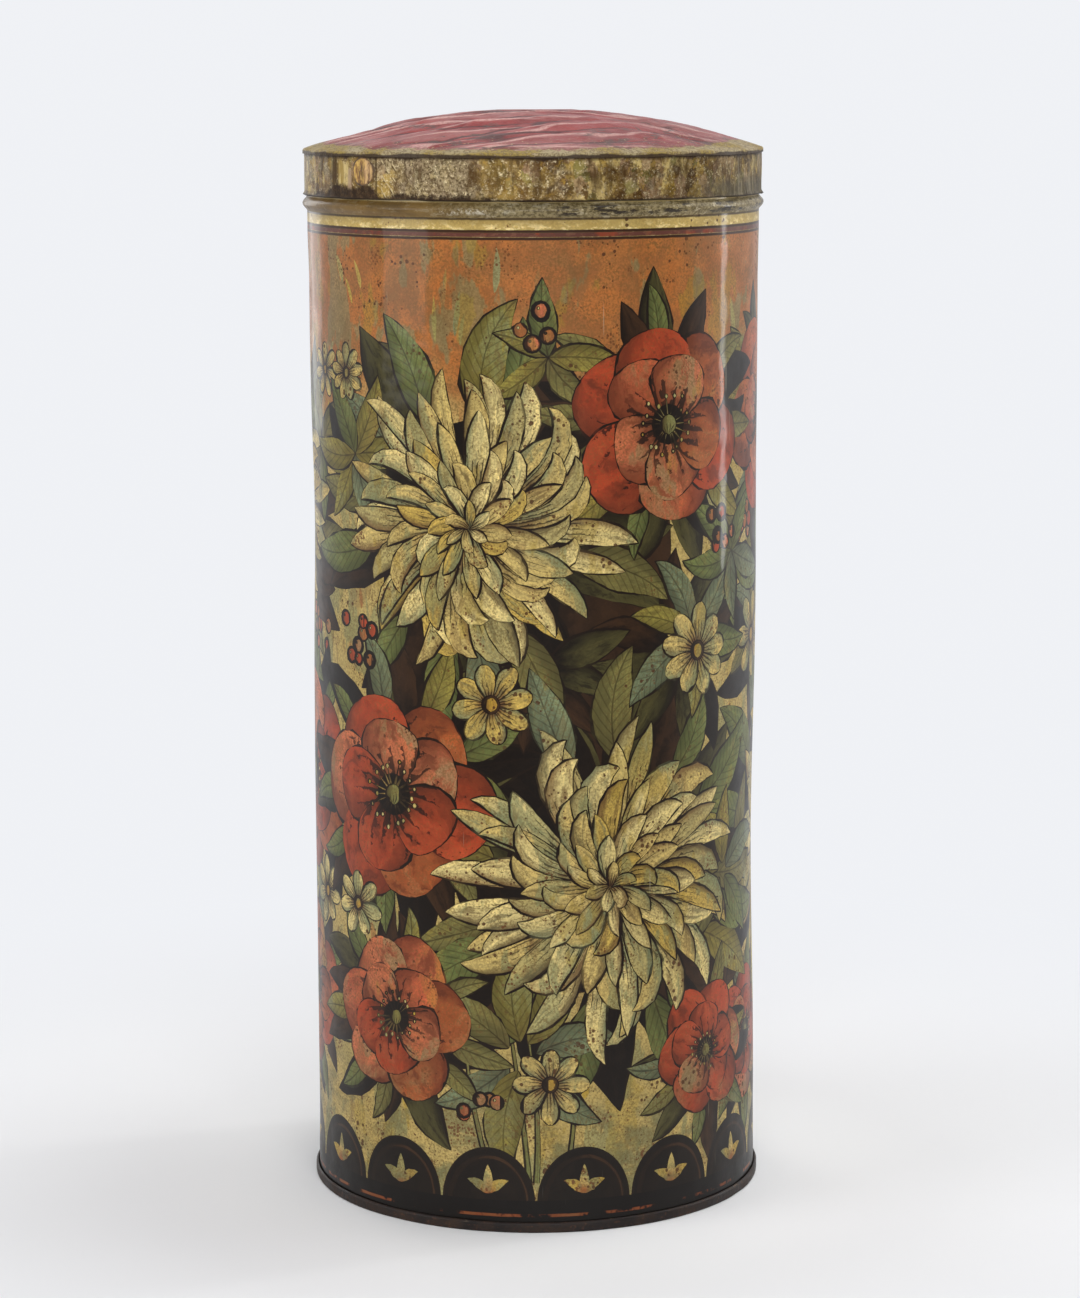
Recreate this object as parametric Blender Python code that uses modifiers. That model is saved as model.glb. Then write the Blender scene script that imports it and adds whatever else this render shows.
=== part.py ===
"""Tall round tin can with a slip-on domed lid, at its real size in metres, +Z up.

The can stands on its rolled base seam with the origin under its centre, and its printed front
faces -Y. It is made from pressed tinplate: each sheet is drawn as the line of its middle, turned
about the can's axis and then given its thickness.
"""

import math

import bpy

# Tinplate, and the clearances between pieces
SHEET = 0.0003
FOLD_GAP = 0.0003
LID_CLEARANCE = 0.0004
LID_REST_GAP = 0.0009
MERGE_DISTANCE = 0.00001

# Body wall: its outer face, and the bead that stops the lid
BODY_RADIUS = 0.0635
BEAD_LEVEL = 0.2809
BEAD_HEIGHT = 0.0036
BEAD_PROUD = 0.0014
NECK_CURL = 0.0006

# Lock seam up the back of the wall, and the run of solder along it inside
LOCK_WIDTH = 0.005
LOCK_PROUD = 0.0004
LOCK_MARGIN = 0.0005
SOLDER_WIDTH = 0.007
SOLDER_DEPTH = 0.0004
SOLDER_MARGIN = 0.003

# Base disc, rolled round the foot of the wall
SEAM_HEIGHT = 0.003
SEAM_PROUD = 0.001
SEAM_BEND = 0.0004
PANEL_RISE = 0.0035

# Lid: a skirt with a flared edge, and a dome folded down over it
FLARE_RADIUS = 0.0007
FLARE_SWEEP = 80
SKIRT_HEIGHT = 0.0109
RIM_HEIGHT = 0.0017
RIM_BEND = 0.0005
DOME_RISE = 0.01
NECK_HEADROOM = 0.0028

# Lap joint of the skirt, and the round spot of solder on it
LAP_WIDTH = 0.0115
LAP_MARGIN = 0.0004
SPOT_RADIUS = 0.004
SPOT_PROUD = 0.0004

# Bearings about the can's axis, in degrees from +X
BACK_BEARING = 90
LAP_BEARING = -135

# Facets
TURN_STEPS = 72
BEND_STEPS = 2
CURL_STEPS = 5
FLARE_STEPS = 3
BEAD_STEPS = 5
DOME_STEPS = 7
SPOT_TURN_STEPS = 24
SPOT_STEPS = 3
STRIP_STEPS = 3

# Places in the body that follow from the sizes above
HALF_SHEET = SHEET / 2
wall_middle = BODY_RADIUS - HALF_SHEET
wall_foot = SHEET + FOLD_GAP

half_bead = BEAD_HEIGHT / 2
bead_radius = (half_bead**2 + BEAD_PROUD**2) / (2 * BEAD_PROUD)
bead_centre = wall_middle + BEAD_PROUD - bead_radius
bead_sweep = math.degrees(math.atan2(half_bead, bead_radius - BEAD_PROUD))
bead_foot = BEAD_LEVEL - half_bead

# Places in the lid, with heights counted from the top of its flared edge
skirt_middle = BODY_RADIUS + LID_CLEARANCE + HALF_SHEET
skirt_face = skirt_middle + HALF_SHEET
flare_centre = skirt_middle + FLARE_RADIUS
rim_middle = skirt_face + FOLD_GAP + HALF_SHEET
dome_edge = SKIRT_HEIGHT + RIM_HEIGHT
skirt_top = dome_edge - HALF_SHEET - FOLD_GAP

# Height at which the flared edge rests over the bead, and the neck that it leaves room for
seat_distance = bead_radius + SHEET + LID_REST_GAP + FLARE_RADIUS
lid_seat = BEAD_LEVEL + math.sqrt(seat_distance**2 - (flare_centre - bead_centre) ** 2)
neck_top = lid_seat + SKIRT_HEIGHT - NECK_HEADROOM


def clear_scene():
    """Empties the scene that Blender starts with."""
    for obj in list(bpy.data.objects):
        bpy.data.objects.remove(obj)


def new_collection(name, hidden=False):
    """A collection in the scene; a hidden one holds helper shapes."""
    collection = bpy.data.collections.new(name)
    collection.hide_render = hidden
    bpy.context.scene.collection.children.link(collection)
    return collection


def new_material(name, colour, roughness, metallic):
    """A plain Principled material in the piece's main colour."""
    material = bpy.data.materials.new(name)
    material.use_nodes = True
    shader = material.node_tree.nodes["Principled BSDF"]
    shader.inputs["Base Color"].default_value = (*colour, 1)
    shader.inputs["Roughness"].default_value = roughness
    shader.inputs["Metallic"].default_value = metallic
    material.diffuse_color = (*colour, 1)
    return material


def new_axis(name, collection, height=0.0):
    """An empty on the can's axis, which carries the pieces that move together."""
    axis = bpy.data.objects.new(name, None)
    axis.location = (0, 0, height)
    axis.empty_display_size = BODY_RADIUS
    collection.objects.link(axis)
    return axis


def arc(centre, level, radius, start, end, steps):
    """Points (distance from the axis, height) along an arc, with angles in degrees."""
    points = []
    for step in range(steps + 1):
        angle = math.radians(start + (end - start) * step / steps)
        points.append((centre + radius * math.cos(angle), level + radius * math.sin(angle)))
    return points


def line_object(name, points, collection, parent):
    """A chain of edges in the XZ plane, ready to be turned about Z."""
    vertices = [(distance, 0, height) for distance, height in points]
    edges = [(index, index + 1) for index in range(len(points) - 1)]
    mesh = bpy.data.meshes.new(name)
    mesh.from_pydata(vertices, edges, [])
    obj = bpy.data.objects.new(name, mesh)
    obj.parent = parent
    collection.objects.link(obj)
    return obj


def turn(obj, angle, steps):
    """Turns the object's line about its Z axis."""
    screw = obj.modifiers.new("turned", "SCREW")
    screw.axis = "Z"
    screw.angle = angle
    screw.steps = steps
    screw.render_steps = steps
    screw.use_smooth_shade = True
    screw.use_merge_vertices = True
    screw.merge_threshold = MERGE_DISTANCE


def thicken(obj, thickness):
    """Gives a turned surface its thickness, half to each side of the line."""
    solidify = obj.modifiers.new("sheet", "SOLIDIFY")
    solidify.thickness = thickness
    solidify.offset = 0
    solidify.use_even_offset = True


def pressed_sheet(name, points, collection, parent, material):
    """A piece of tinplate that goes all the way round the axis."""
    obj = line_object(name, points, collection, parent)
    turn(obj, math.tau, TURN_STEPS)
    thicken(obj, SHEET)
    obj.data.materials.append(material)
    return obj


def curved_strip(name, inner, outer, low, high, width, bearing, collection, parent):
    """An upright strip that follows the can's curve between two distances from the axis."""
    middle = (inner + outer) / 2
    angle = width / outer
    strip = line_object(name, [(middle, high), (middle, low)], collection, parent)
    strip.rotation_euler.z = math.radians(bearing) - angle / 2
    turn(strip, angle, STRIP_STEPS)
    thicken(strip, outer - inner)
    return strip


def join_strip(obj, strip):
    """Makes a strip one body with the sheet that it stands on."""
    strip.hide_render = True
    strip.display_type = "WIRE"
    union = obj.modifiers.new(strip.name, "BOOLEAN")
    union.operation = "UNION"
    union.solver = "EXACT"
    union.object = strip


def wall_line():
    """The wall from the curl inside its neck, down over the bead, to its foot."""
    curl_level = neck_top - HALF_SHEET - NECK_CURL
    neck = arc(wall_middle - NECK_CURL, curl_level, NECK_CURL, 270, 0, CURL_STEPS)
    bead = arc(bead_centre, BEAD_LEVEL, bead_radius, bead_sweep, -bead_sweep, BEAD_STEPS)
    return [*neck, *bead, (wall_middle, wall_foot)]


def base_line():
    """The base from its centre, down inside the wall, round its foot and up outside."""
    inner_leg = BODY_RADIUS - SHEET - FOLD_GAP - HALF_SHEET
    outer_leg = BODY_RADIUS + SEAM_PROUD - HALF_SHEET
    bend_level = HALF_SHEET + SEAM_BEND
    roll = outer_leg - BODY_RADIUS - FOLD_GAP
    roll_level = SEAM_HEIGHT - HALF_SHEET - roll
    return [
        (0, PANEL_RISE),
        *arc(inner_leg - SEAM_BEND, PANEL_RISE - SEAM_BEND, SEAM_BEND, 90, 0, BEND_STEPS),
        *arc(inner_leg + SEAM_BEND, bend_level, SEAM_BEND, 180, 270, BEND_STEPS),
        *arc(outer_leg - SEAM_BEND, bend_level, SEAM_BEND, 270, 360, BEND_STEPS),
        *arc(outer_leg - roll, roll_level, roll, 0, 90, BEND_STEPS),
    ]


def dome_line():
    """The lid's top from its crown to the rim that is folded down over the skirt."""
    cap_edge = rim_middle - RIM_BEND
    cap_radius = (cap_edge**2 + DOME_RISE**2) / (2 * DOME_RISE)
    cap_centre = dome_edge + DOME_RISE - cap_radius
    cap_sweep = math.degrees(math.asin(cap_edge / cap_radius))
    cap = arc(0, cap_centre, cap_radius, 90, 90 - cap_sweep, DOME_STEPS)
    bend = arc(cap_edge, dome_edge - RIM_BEND, RIM_BEND, 90, 0, BEND_STEPS)
    return [*cap, *bend[1:], (rim_middle, SKIRT_HEIGHT)]


def skirt_line():
    """The lid's side from under the rim down to its flared edge."""
    flare = arc(flare_centre, 0, FLARE_RADIUS, 180, 180 + FLARE_SWEEP, FLARE_STEPS)
    return [(skirt_middle, skirt_top), *flare]


def build_wall(collection, helpers, parent, material):
    """The printed wall, with its lock seam standing proud between base seam and bead."""
    wall = pressed_sheet("body_wall", wall_line(), collection, parent, material)
    lock_seam = curved_strip(
        "lock_seam",
        inner=wall_middle,
        outer=BODY_RADIUS + LOCK_PROUD,
        low=SEAM_HEIGHT + LOCK_MARGIN,
        high=bead_foot - LOCK_MARGIN,
        width=LOCK_WIDTH,
        bearing=BACK_BEARING,
        collection=helpers,
        parent=parent,
    )
    join_strip(wall, lock_seam)


def build_seam_solder(collection, parent, material):
    """The solder that closes the lock seam from inside the can."""
    face = BODY_RADIUS - SHEET - FOLD_GAP
    solder = curved_strip(
        "seam_solder",
        inner=face - SOLDER_DEPTH,
        outer=face,
        low=PANEL_RISE + SOLDER_MARGIN,
        high=bead_foot - SOLDER_MARGIN,
        width=SOLDER_WIDTH,
        bearing=BACK_BEARING,
        collection=collection,
        parent=parent,
    )
    solder.data.materials.append(material)


def build_skirt(collection, helpers, parent, material):
    """The lid's side, with the free end of its strip lapped over the other end."""
    skirt = pressed_sheet("lid_skirt", skirt_line(), collection, parent, material)
    lap = curved_strip(
        "skirt_lap",
        inner=skirt_middle,
        outer=skirt_face + SHEET,
        low=LAP_MARGIN,
        high=SKIRT_HEIGHT - LAP_MARGIN,
        width=LAP_WIDTH,
        bearing=LAP_BEARING,
        collection=helpers,
        parent=parent,
    )
    join_strip(skirt, lap)


def build_lap_solder(collection, parent, material):
    """The round spot of solder that holds the lap of the skirt, close under the rim."""
    points = []
    for step in range(SPOT_STEPS + 1):
        angle = math.radians(90 * step / SPOT_STEPS)
        points.append((SPOT_RADIUS * math.sin(angle), SPOT_PROUD * math.cos(angle)))
    spot = line_object("lap_solder", [*points, (0, 0)], collection, parent)
    turn(spot, math.tau, SPOT_TURN_STEPS)
    bearing = math.radians(LAP_BEARING)
    back = skirt_face + SHEET + FOLD_GAP
    level = SKIRT_HEIGHT - FOLD_GAP - SPOT_RADIUS
    spot.location = (back * math.cos(bearing), back * math.sin(bearing), level)
    spot.rotation_euler = (0, math.radians(90), bearing)
    spot.data.materials.append(material)


def build_can():
    """The whole can: its body, and the lid that lifts straight off."""
    clear_scene()
    can = new_collection("tin_can")
    helpers = new_collection("joined_strips", hidden=True)
    printed = new_material("printed tinplate", (0.56, 0.46, 0.24), 0.35, 0.0)
    darkened = new_material("darkened tinplate", (0.035, 0.028, 0.024), 0.45, 0.2)
    red = new_material("red lacquered tinplate", (0.42, 0.07, 0.07), 0.3, 0.0)
    tarnished = new_material("tarnished tinplate", (0.27, 0.21, 0.11), 0.42, 0.3)
    solder = new_material("dull solder", (0.3, 0.29, 0.27), 0.5, 0.8)
    rusted = new_material("rusted solder", (0.36, 0.19, 0.06), 0.55, 0.4)

    body_axis = new_axis("can_axis", can)
    build_wall(can, helpers, body_axis, printed)
    build_seam_solder(can, body_axis, solder)
    pressed_sheet("base_disc", base_line(), can, body_axis, darkened)

    lift_axis = new_axis("lid_lift_axis", can, lid_seat)
    lift_axis.parent = body_axis
    pressed_sheet("lid_dome", dome_line(), can, lift_axis, red)
    build_skirt(can, helpers, lift_axis, tarnished)
    build_lap_solder(can, lift_axis, rusted)


build_can()
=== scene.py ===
"""Dresses a tall round tin can: a printed wall, a rolled base and a red domed slip-on lid."""

import math
import random

import bpy
import numpy as np
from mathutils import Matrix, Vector
from mathutils.bvhtree import BVHTree
from mathutils.geometry import delaunay_2d_cdt


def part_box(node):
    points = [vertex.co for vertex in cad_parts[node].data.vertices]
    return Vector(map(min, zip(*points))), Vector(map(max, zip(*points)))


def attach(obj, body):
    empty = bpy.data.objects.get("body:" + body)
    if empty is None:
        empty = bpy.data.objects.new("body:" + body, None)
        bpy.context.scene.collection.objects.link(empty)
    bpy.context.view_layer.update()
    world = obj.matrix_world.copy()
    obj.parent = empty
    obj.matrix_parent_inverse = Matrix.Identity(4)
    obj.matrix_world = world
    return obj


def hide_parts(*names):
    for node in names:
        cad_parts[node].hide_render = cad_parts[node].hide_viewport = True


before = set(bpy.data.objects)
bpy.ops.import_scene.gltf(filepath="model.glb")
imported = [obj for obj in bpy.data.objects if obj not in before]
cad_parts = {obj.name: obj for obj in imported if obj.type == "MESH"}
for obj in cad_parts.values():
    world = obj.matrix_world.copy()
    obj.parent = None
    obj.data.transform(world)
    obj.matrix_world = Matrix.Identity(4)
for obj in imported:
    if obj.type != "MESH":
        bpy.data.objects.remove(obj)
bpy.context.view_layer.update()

# The wall
# One sheet of tinplate, printed flat, varnished, rolled into a tube and hooked together at the
# back in a lock seam. A bead pressed in near its top stops the lid, and its neck curls inwards.
# Sizes are in millimetres: s runs round the wall to the right of the front, z up from the foot.
MM = 0.001
WALL_RADIUS = 63.5
SHEET = 0.3
BEAD_LEVEL = 280.9
BEAD_REACH = 2.1
BEAD_PROUD = 1.3
NECK_MIDDLE = 286.0
CURL = 0.75
LOCK_HALF = 2.5
LOCK_PROUD = 0.4
LOCK_STEP = 0.15
LOCK_FOOT = 3.5
LOCK_CLEAR = 0.3

wall_low, wall_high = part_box("body_wall")
half_sheet = math.pi * WALL_RADIUS
wall_foot = wall_low.z / MM
neck_top = wall_high.z / MM
bead_foot = BEAD_LEVEL - BEAD_REACH
bead_top = BEAD_LEVEL + BEAD_REACH
lock_top = bead_foot - LOCK_CLEAR

CREAM = (0.46, 0.345, 0.118)
PALE = (0.56, 0.45, 0.185)
OCHRE = (0.31, 0.205, 0.062)
YELLOW = (0.40, 0.26, 0.03)
TEAL = (0.135, 0.165, 0.09)
GREEN = (0.115, 0.14, 0.04)
OLIVE = (0.15, 0.135, 0.04)
RUST = (0.27, 0.085, 0.022)
RED = (0.30, 0.042, 0.014)
CORAL = (0.42, 0.115, 0.05)
BROWN = (0.11, 0.05, 0.018)
UMBER = (0.034, 0.016, 0.007)
INK = (0.009, 0.0055, 0.0035)

# The picture on the sheet: a list of painted shapes, the lowest first. A shape that would come
# nearer to the lock seam, the foot or the bead than these margins is left out.
SEAM_MARGIN = 9.0
EDGE_MARGIN = 1.0
hand = random.Random(5)
picture = []


def between(a, b, share):
    """The colour at a share of the way from a to b."""
    return tuple(p + (q - p) * share for p, q in zip(a, b))


def around(middle, angle, reach):
    return (middle[0] + reach * math.cos(angle), middle[1] + reach * math.sin(angle))


def bent_line(start, heading, length, bend=0.0, hook=0.0, steps=10):
    """A line that sets off at a heading and turns by bend, and by hook mostly near its end."""
    shares = [(1 - math.cos(math.pi * step / steps)) / 2 for step in range(steps + 1)]
    points = [start]
    for before, after in zip(shares, shares[1:]):
        middle = (before + after) / 2
        way = heading + bend * middle + hook * middle**3
        points.append(around(points[-1], way, length * (after - before)))
    return np.array(points), np.array(shares)


def petal_form(share):
    """Narrow at the root, widest past the middle and round at the tip."""
    widest = 0.62
    swell = 0.3 + 0.7 * np.sin(math.pi / 2 * np.minimum(share / widest, 1))
    return swell * np.sqrt(1 - np.maximum(0, (share - widest) / (1 - widest)) ** 2)


def tongue_form(share):
    """Long and narrow, widest towards its end, and running out to a soft point."""
    widest = 0.6
    swell = 0.32 + 0.68 * np.sin(math.pi / 2 * np.minimum(share / widest, 1))
    return swell * (1 - np.maximum(0, (share - widest) / (1 - widest)) ** 2) ** 0.8


def leaf_form(share):
    """Pointed at both ends, widest before the middle."""
    return np.maximum(0, np.sin(math.pi * share**0.8)) ** 0.85


def disc_form(share):
    return np.sqrt(np.maximum(0, 1 - (2 * share - 1) ** 2))


def arch_form(share):
    return np.sqrt(np.maximum(0, 1 - share**2))


def stalk_form(share):
    return 1 - 0.6 * share


def lay(path, half_width, form, root, tip, shade, hatch=0.0, veins=0.0, ragged=0.0):
    """Paints one shape along a path; colours run from root to tip, with shade on one side."""
    line, shares = path
    widths = half_width * form(shares)
    along = np.gradient(line, axis=0)
    along /= np.linalg.norm(along, axis=1)[:, None] + 1e-9
    side = np.stack([-along[:, 1], along[:, 0]], 1)
    uneven = 1 + ragged * np.array([hand.uniform(-1, 1) for _ in range(2 * len(line))])
    left = line + side * (widths * uneven[: len(line)])[:, None]
    right = line - side * (widths * uneven[len(line) :])[:, None]
    outline = np.concatenate([right, left[::-1]])
    apart = np.linalg.norm(outline - np.roll(outline, 1, axis=0), axis=1)
    outline = outline[apart > 0.05]
    far, low, high = np.abs(outline[:, 0]).max(), outline[:, 1].min(), outline[:, 1].max()
    if far < half_sheet - SEAM_MARGIN and low > LOCK_FOOT + EDGE_MARGIN and high < lock_top - EDGE_MARGIN:
        picture.append((outline, line, widths, root, tip, shade, hatch, veins, hand.random()))


def dot(middle, across, paint, shade, tall=1.0, hatch=0.0, steps=6):
    path = bent_line((middle[0], middle[1] - across * tall / 2), math.pi / 2, across * tall, steps=steps)
    lay(path, across / 2, disc_form, paint, paint, shade, hatch)


def shaggy_bloom(middle, size, turn):
    """A many-petalled bloom with long curling petals, the outer ones first."""
    rings = [(21, 0.30, 1.0, 0.082), (20, 0.22, 0.84, 0.08), (18, 0.14, 0.66, 0.074)]
    rings += [(14, 0.07, 0.48, 0.066), (10, 0.02, 0.31, 0.056), (6, 0.0, 0.17, 0.045)]
    tips = [CREAM, CREAM, CREAM, PALE, PALE, PALE, between(CREAM, TEAL, 0.4), between(CREAM, YELLOW, 0.6)]
    dot(middle, size * 1.3, INK, INK)
    for ring, (count, inner, outer, wide) in enumerate(rings):
        first = hand.uniform(0, math.tau)
        for number in range(count):
            angle = first + math.tau * number / count + hand.uniform(-0.11, 0.11)
            bend = turn * hand.uniform(0.1, 0.8)
            hook = turn * hand.uniform(-1.2, 1.9)
            heading = angle - 0.4 * bend + hand.uniform(-0.12, 0.12)
            length = size * (outer - inner) * hand.uniform(0.84, 1.12)
            path = bent_line(around(middle, angle, size * inner), heading, length, bend, hook)
            root = between(hand.choice([OCHRE, BROWN, BROWN, TEAL]), UMBER, 0.3 + 0.07 * ring)
            half_width = size * wide * hand.uniform(0.8, 1.15)
            shade = hand.choice([TEAL, BROWN, UMBER])
            lay(path, half_width, tongue_form, root, hand.choice(tips), shade, 0.75)


def poppy(middle, size):
    """A broad red bloom with a dark heart and a ring of stamens."""
    for count, reach, wide in ((6, 1.0, 0.46), (5, 0.7, 0.36)):
        first = hand.uniform(0, math.tau)
        for number in range(count):
            angle = first + math.tau * number / count + hand.uniform(-0.15, 0.15)
            length = size * reach * hand.uniform(0.9, 1.05)
            start = around(middle, angle, size * 0.03)
            path = bent_line(start, angle, length, 0, hand.uniform(-0.4, 0.4), 16)
            tip = hand.choice([RED, RED, CORAL, between(RED, CORAL, 0.5), between(RED, RUST, 0.6)])
            lay(path, size * wide, petal_form, UMBER, tip, between(RED, UMBER, 0.75), 1.0, 0, 0.05)
    dot(middle, size * 0.40, INK, INK)
    for number in range(18):
        angle = math.tau * number / 18 + hand.uniform(-0.1, 0.1)
        reach = size * hand.uniform(0.2, 0.32)
        path = bent_line(around(middle, angle, size * 0.1), angle, reach - size * 0.1, steps=2)
        lay(path, size * 0.012, stalk_form, OCHRE, OCHRE, OCHRE)
        dot(around(middle, angle, reach), size * 0.055, hand.choice([CREAM, YELLOW, PALE]), OCHRE, steps=4)
    dot(middle, size * 0.2, OLIVE, UMBER, hatch=0.6)


def small_bloom(middle, size, tip):
    """A flat bloom with one ring of petals round a yellow eye."""
    count = hand.choice([7, 8, 9])
    first = hand.uniform(0, math.tau)
    dot(middle, size * 1.2, INK, INK)
    for number in range(count):
        angle = first + math.tau * number / count
        length = size * hand.uniform(0.8, 0.95)
        path = bent_line(around(middle, angle, size * 0.12), angle, length, 0, hand.uniform(-0.5, 0.5))
        lay(path, size * 0.26, petal_form, BROWN, tip, TEAL, 0.8)
    dot(middle, size * 0.46, UMBER, INK)
    dot(middle, size * 0.34, between(YELLOW, RUST, 0.3), BROWN)


def leaf_wreath(middle, inner, outer, count, shadow=False):
    """Leaves that stand out behind a bloom; shadow ones are nearly black."""
    first = hand.uniform(0, math.tau)
    for number in range(count):
        angle = first + math.tau * number / count + hand.uniform(-0.25, 0.25)
        length = (outer - inner) * hand.uniform(0.75, 1.1)
        bend = hand.uniform(-0.8, 0.8)
        path = bent_line(around(middle, angle, inner), angle - 0.4 * bend, length, bend, 0.3 * bend, 12)
        if shadow:
            tip = hand.choice([INK, UMBER, between(UMBER, GREEN, 0.25)])
            lay(path, length * 0.19, leaf_form, INK, tip, INK, 0, 0.25, 0.1)
        else:
            tip = hand.choice([GREEN, GREEN, OLIVE, TEAL, between(GREEN, YELLOW, 0.35)])
            root, shade = between(tip, UMBER, 0.55), between(tip, INK, 0.6)
            lay(path, length * 0.19, leaf_form, root, tip, shade, 0, 1, 0.1)


def berries(middle, spread, count):
    for _ in range(count):
        place = around(middle, hand.uniform(0, math.tau), spread * hand.random() ** 0.5)
        dot(place, hand.uniform(4.2, 5.6), INK, INK)
        dot(place, hand.uniform(3.2, 4.4), hand.choice([RED, CORAL, RUST]), BROWN)
        dot((place[0] - 0.6, place[1] + 0.7), 1.0, PALE, PALE, steps=4)


# The hatching of a shape that has no outline and no hatching at all.
LOOSE = -1.0


def loose_strokes(low, high, count):
    """Short upright strokes of thin colour on the bare ground."""
    for _ in range(count):
        start = (hand.uniform(-half_sheet, half_sheet), hand.uniform(low, high))
        paint = between(hand.choice([RUST, RUST, BROWN, TEAL, OLIVE, YELLOW]), CREAM, hand.uniform(0.1, 0.6))
        heading, length, bend = hand.uniform(1.3, 1.85), hand.uniform(4, 13), hand.uniform(-0.6, 0.6)
        path = bent_line(start, heading, length, bend, steps=6)
        lay(path, hand.uniform(0.4, 1.3), leaf_form, paint, paint, paint, LOOSE, 0, 0.15)


def bouquet(middle, turn):
    """One bouquet, shadows first; turn is 1, or -1 for its mirror image."""

    def at(x, z):
        return (middle + turn * x, z)

    for x, z, across, tall in ((-14, 176, 62, 1.5), (12, 112, 74, 1.2), (18, 190, 44, 1.6)):
        dot(at(x, z), across, UMBER, INK, tall, 0, 24)
    for x, z, inner, outer, count in (
        (-19, 196, 20, 60, 18),
        (22, 98, 20, 64, 19),
        (38, 223, 12, 44, 12),
        (-41, 122, 14, 48, 13),
        (44, 160, 4, 34, 9),
        (-41, 58, 10, 38, 11),
        (53, 46, 8, 32, 9),
        (0, 158, 4, 30, 9),
    ):
        leaf_wreath(at(x, z), inner, outer, count, shadow=True)
    stalks = ((0, -0.07, 52, 0.3), (8, -0.22, 44, 0.4), (-12, 0.33, 60, -0.4), (-2, 0.08, 60, 0.1))
    for x, lean, length, bend in stalks:
        path = bent_line(at(x, 14), math.pi / 2 + turn * lean, length, turn * bend)
        lay(path, 1.0, stalk_form, between(GREEN, OLIVE, 0.5), OLIVE, UMBER)
    for x, z, inner, outer, count in (
        (-19, 196, 30, 63, 13),
        (22, 98, 34, 67, 14),
        (38, 223, 20, 42, 8),
        (-41, 122, 22, 45, 9),
        (48, 165, 2, 27, 6),
        (-4, 50, 4, 34, 7),
        (-56, 214, 0, 27, 6),
        (62, 96, 2, 30, 5),
        (-41, 58, 16, 36, 8),
        (53, 46, 12, 30, 7),
        (4, 242, 0, 22, 5),
        (66, 186, 0, 26, 5),
    ):
        leaf_wreath(at(x, z), inner, outer, count)
    poppy(at(39, 223), 28)
    poppy(at(-42, 121), 30)
    poppy(at(-42, 58), 23)
    poppy(at(54, 46), 19)
    small_bloom(at(50, 160), 13, CREAM)
    small_bloom(at(-57, 88), 10, PALE)
    shaggy_bloom(at(-18, 196), 45, turn)
    shaggy_bloom(at(21, 97), 48, -turn)
    small_bloom(at(-12, 148), 12, between(CREAM, YELLOW, 0.5))
    small_bloom(at(4, 42), 11, CREAM)
    small_bloom(at(-60, 236), 8, CREAM)
    berries(at(-54, 165), 9, 8)
    berries(at(60, 192), 7, 7)
    berries(at(-16, 36), 6, 5)
    berries(at(2, 250), 6, 5)


BOUQUETS = 3
loose_strokes(24, 262, 330)
for number in (-1, 1, 0):
    bouquet(number * 2 * half_sheet / BOUQUETS, 1 if number == 0 else -1)

# A row of dark scallops, each with a gold sprig, along the foot of the picture.
SCALLOPS = 14
SCALLOP_FOOT = 8.5
SPRIG_FOOT = 10.8
SCALLOP_MARGIN = 10
scallop_wide = 2 * (half_sheet - SCALLOP_MARGIN) / SCALLOPS
for number in range(SCALLOPS):
    x = (number + 0.5) * scallop_wide - half_sheet + SCALLOP_MARGIN
    for wide, tall, paint in ((0.98, 15.5, INK), (0.86, 13.3, UMBER), (0.80, 12.3, INK)):
        path = bent_line((x, SCALLOP_FOOT), math.pi / 2, tall, steps=16)
        lay(path, wide * scallop_wide / 2, arch_form, paint, paint, INK)
    gold = between(YELLOW, CREAM, 0.35)
    for side in (-1, 1):
        path = bent_line((x, SPRIG_FOOT), math.pi / 2 - 0.55 * side, 7.2, -0.9 * side, steps=12)
        lay(path, 1.4, leaf_form, RUST, gold, BROWN, LOOSE, 0, 0.12)
    path = bent_line((x, SPRIG_FOOT), math.pi / 2, 8.2, steps=6)
    lay(path, 1.4, leaf_form, RUST, between(gold, PALE, 0.5), gold, LOOSE, 0, 0.1)


def show_through(outlines):
    """The edges of what shows of each outline, and a finder of the outline at a spot."""
    corners, faces = [], []
    for outline in outlines:
        faces.append(list(range(len(corners), len(corners) + len(outline))))
        corners += [Vector(point) for point in outline]
    points, _, triangles, _, _, owners = delaunay_2d_cdt(corners, [], faces, 0, 1e-4, True)
    tops = [max(owner, default=-1) for owner in owners]
    sides = {}
    for triangle, top in zip(triangles, tops):
        for a, b in zip(triangle, triangle[1:] + triangle[:1]):
            sides.setdefault((min(a, b), max(a, b)), []).append(top)
    edges = [edge for edge, pair in sides.items() if pair[0] != (pair[1] if len(pair) > 1 else -1)]
    flat = BVHTree.FromPolygons([(x, y, 0) for x, y in points], triangles)

    def top_at(x, y):
        face = flat.ray_cast(Vector((x, y, 1)), Vector((0, 0, -1)))[2]
        return -1 if face is None else tops[face]

    return points, edges, top_at


def near_line(line, widths, points):
    """For each point: distance along the line, distance to its left, and half width there."""
    step = np.diff(line, axis=0)
    long = np.linalg.norm(step, axis=1) + 1e-9
    offset = points[:, None] - line[:-1]
    share = np.clip((offset * step).sum(2) / long**2, 0, 1)
    offset -= share[..., None] * step
    best = np.linalg.norm(offset, axis=2).argmin(1)
    each = np.arange(len(points))
    share, offset, step = share[each, best], offset[each, best], step[best] / long[best, None]
    along = np.concatenate([[0], np.cumsum(long)])[best] + share * long[best]
    left = step[:, 0] * offset[:, 1] - step[:, 1] * offset[:, 0]
    return np.stack([along, left, widths[best] + share * (widths[best + 1] - widths[best])], 1)


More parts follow.
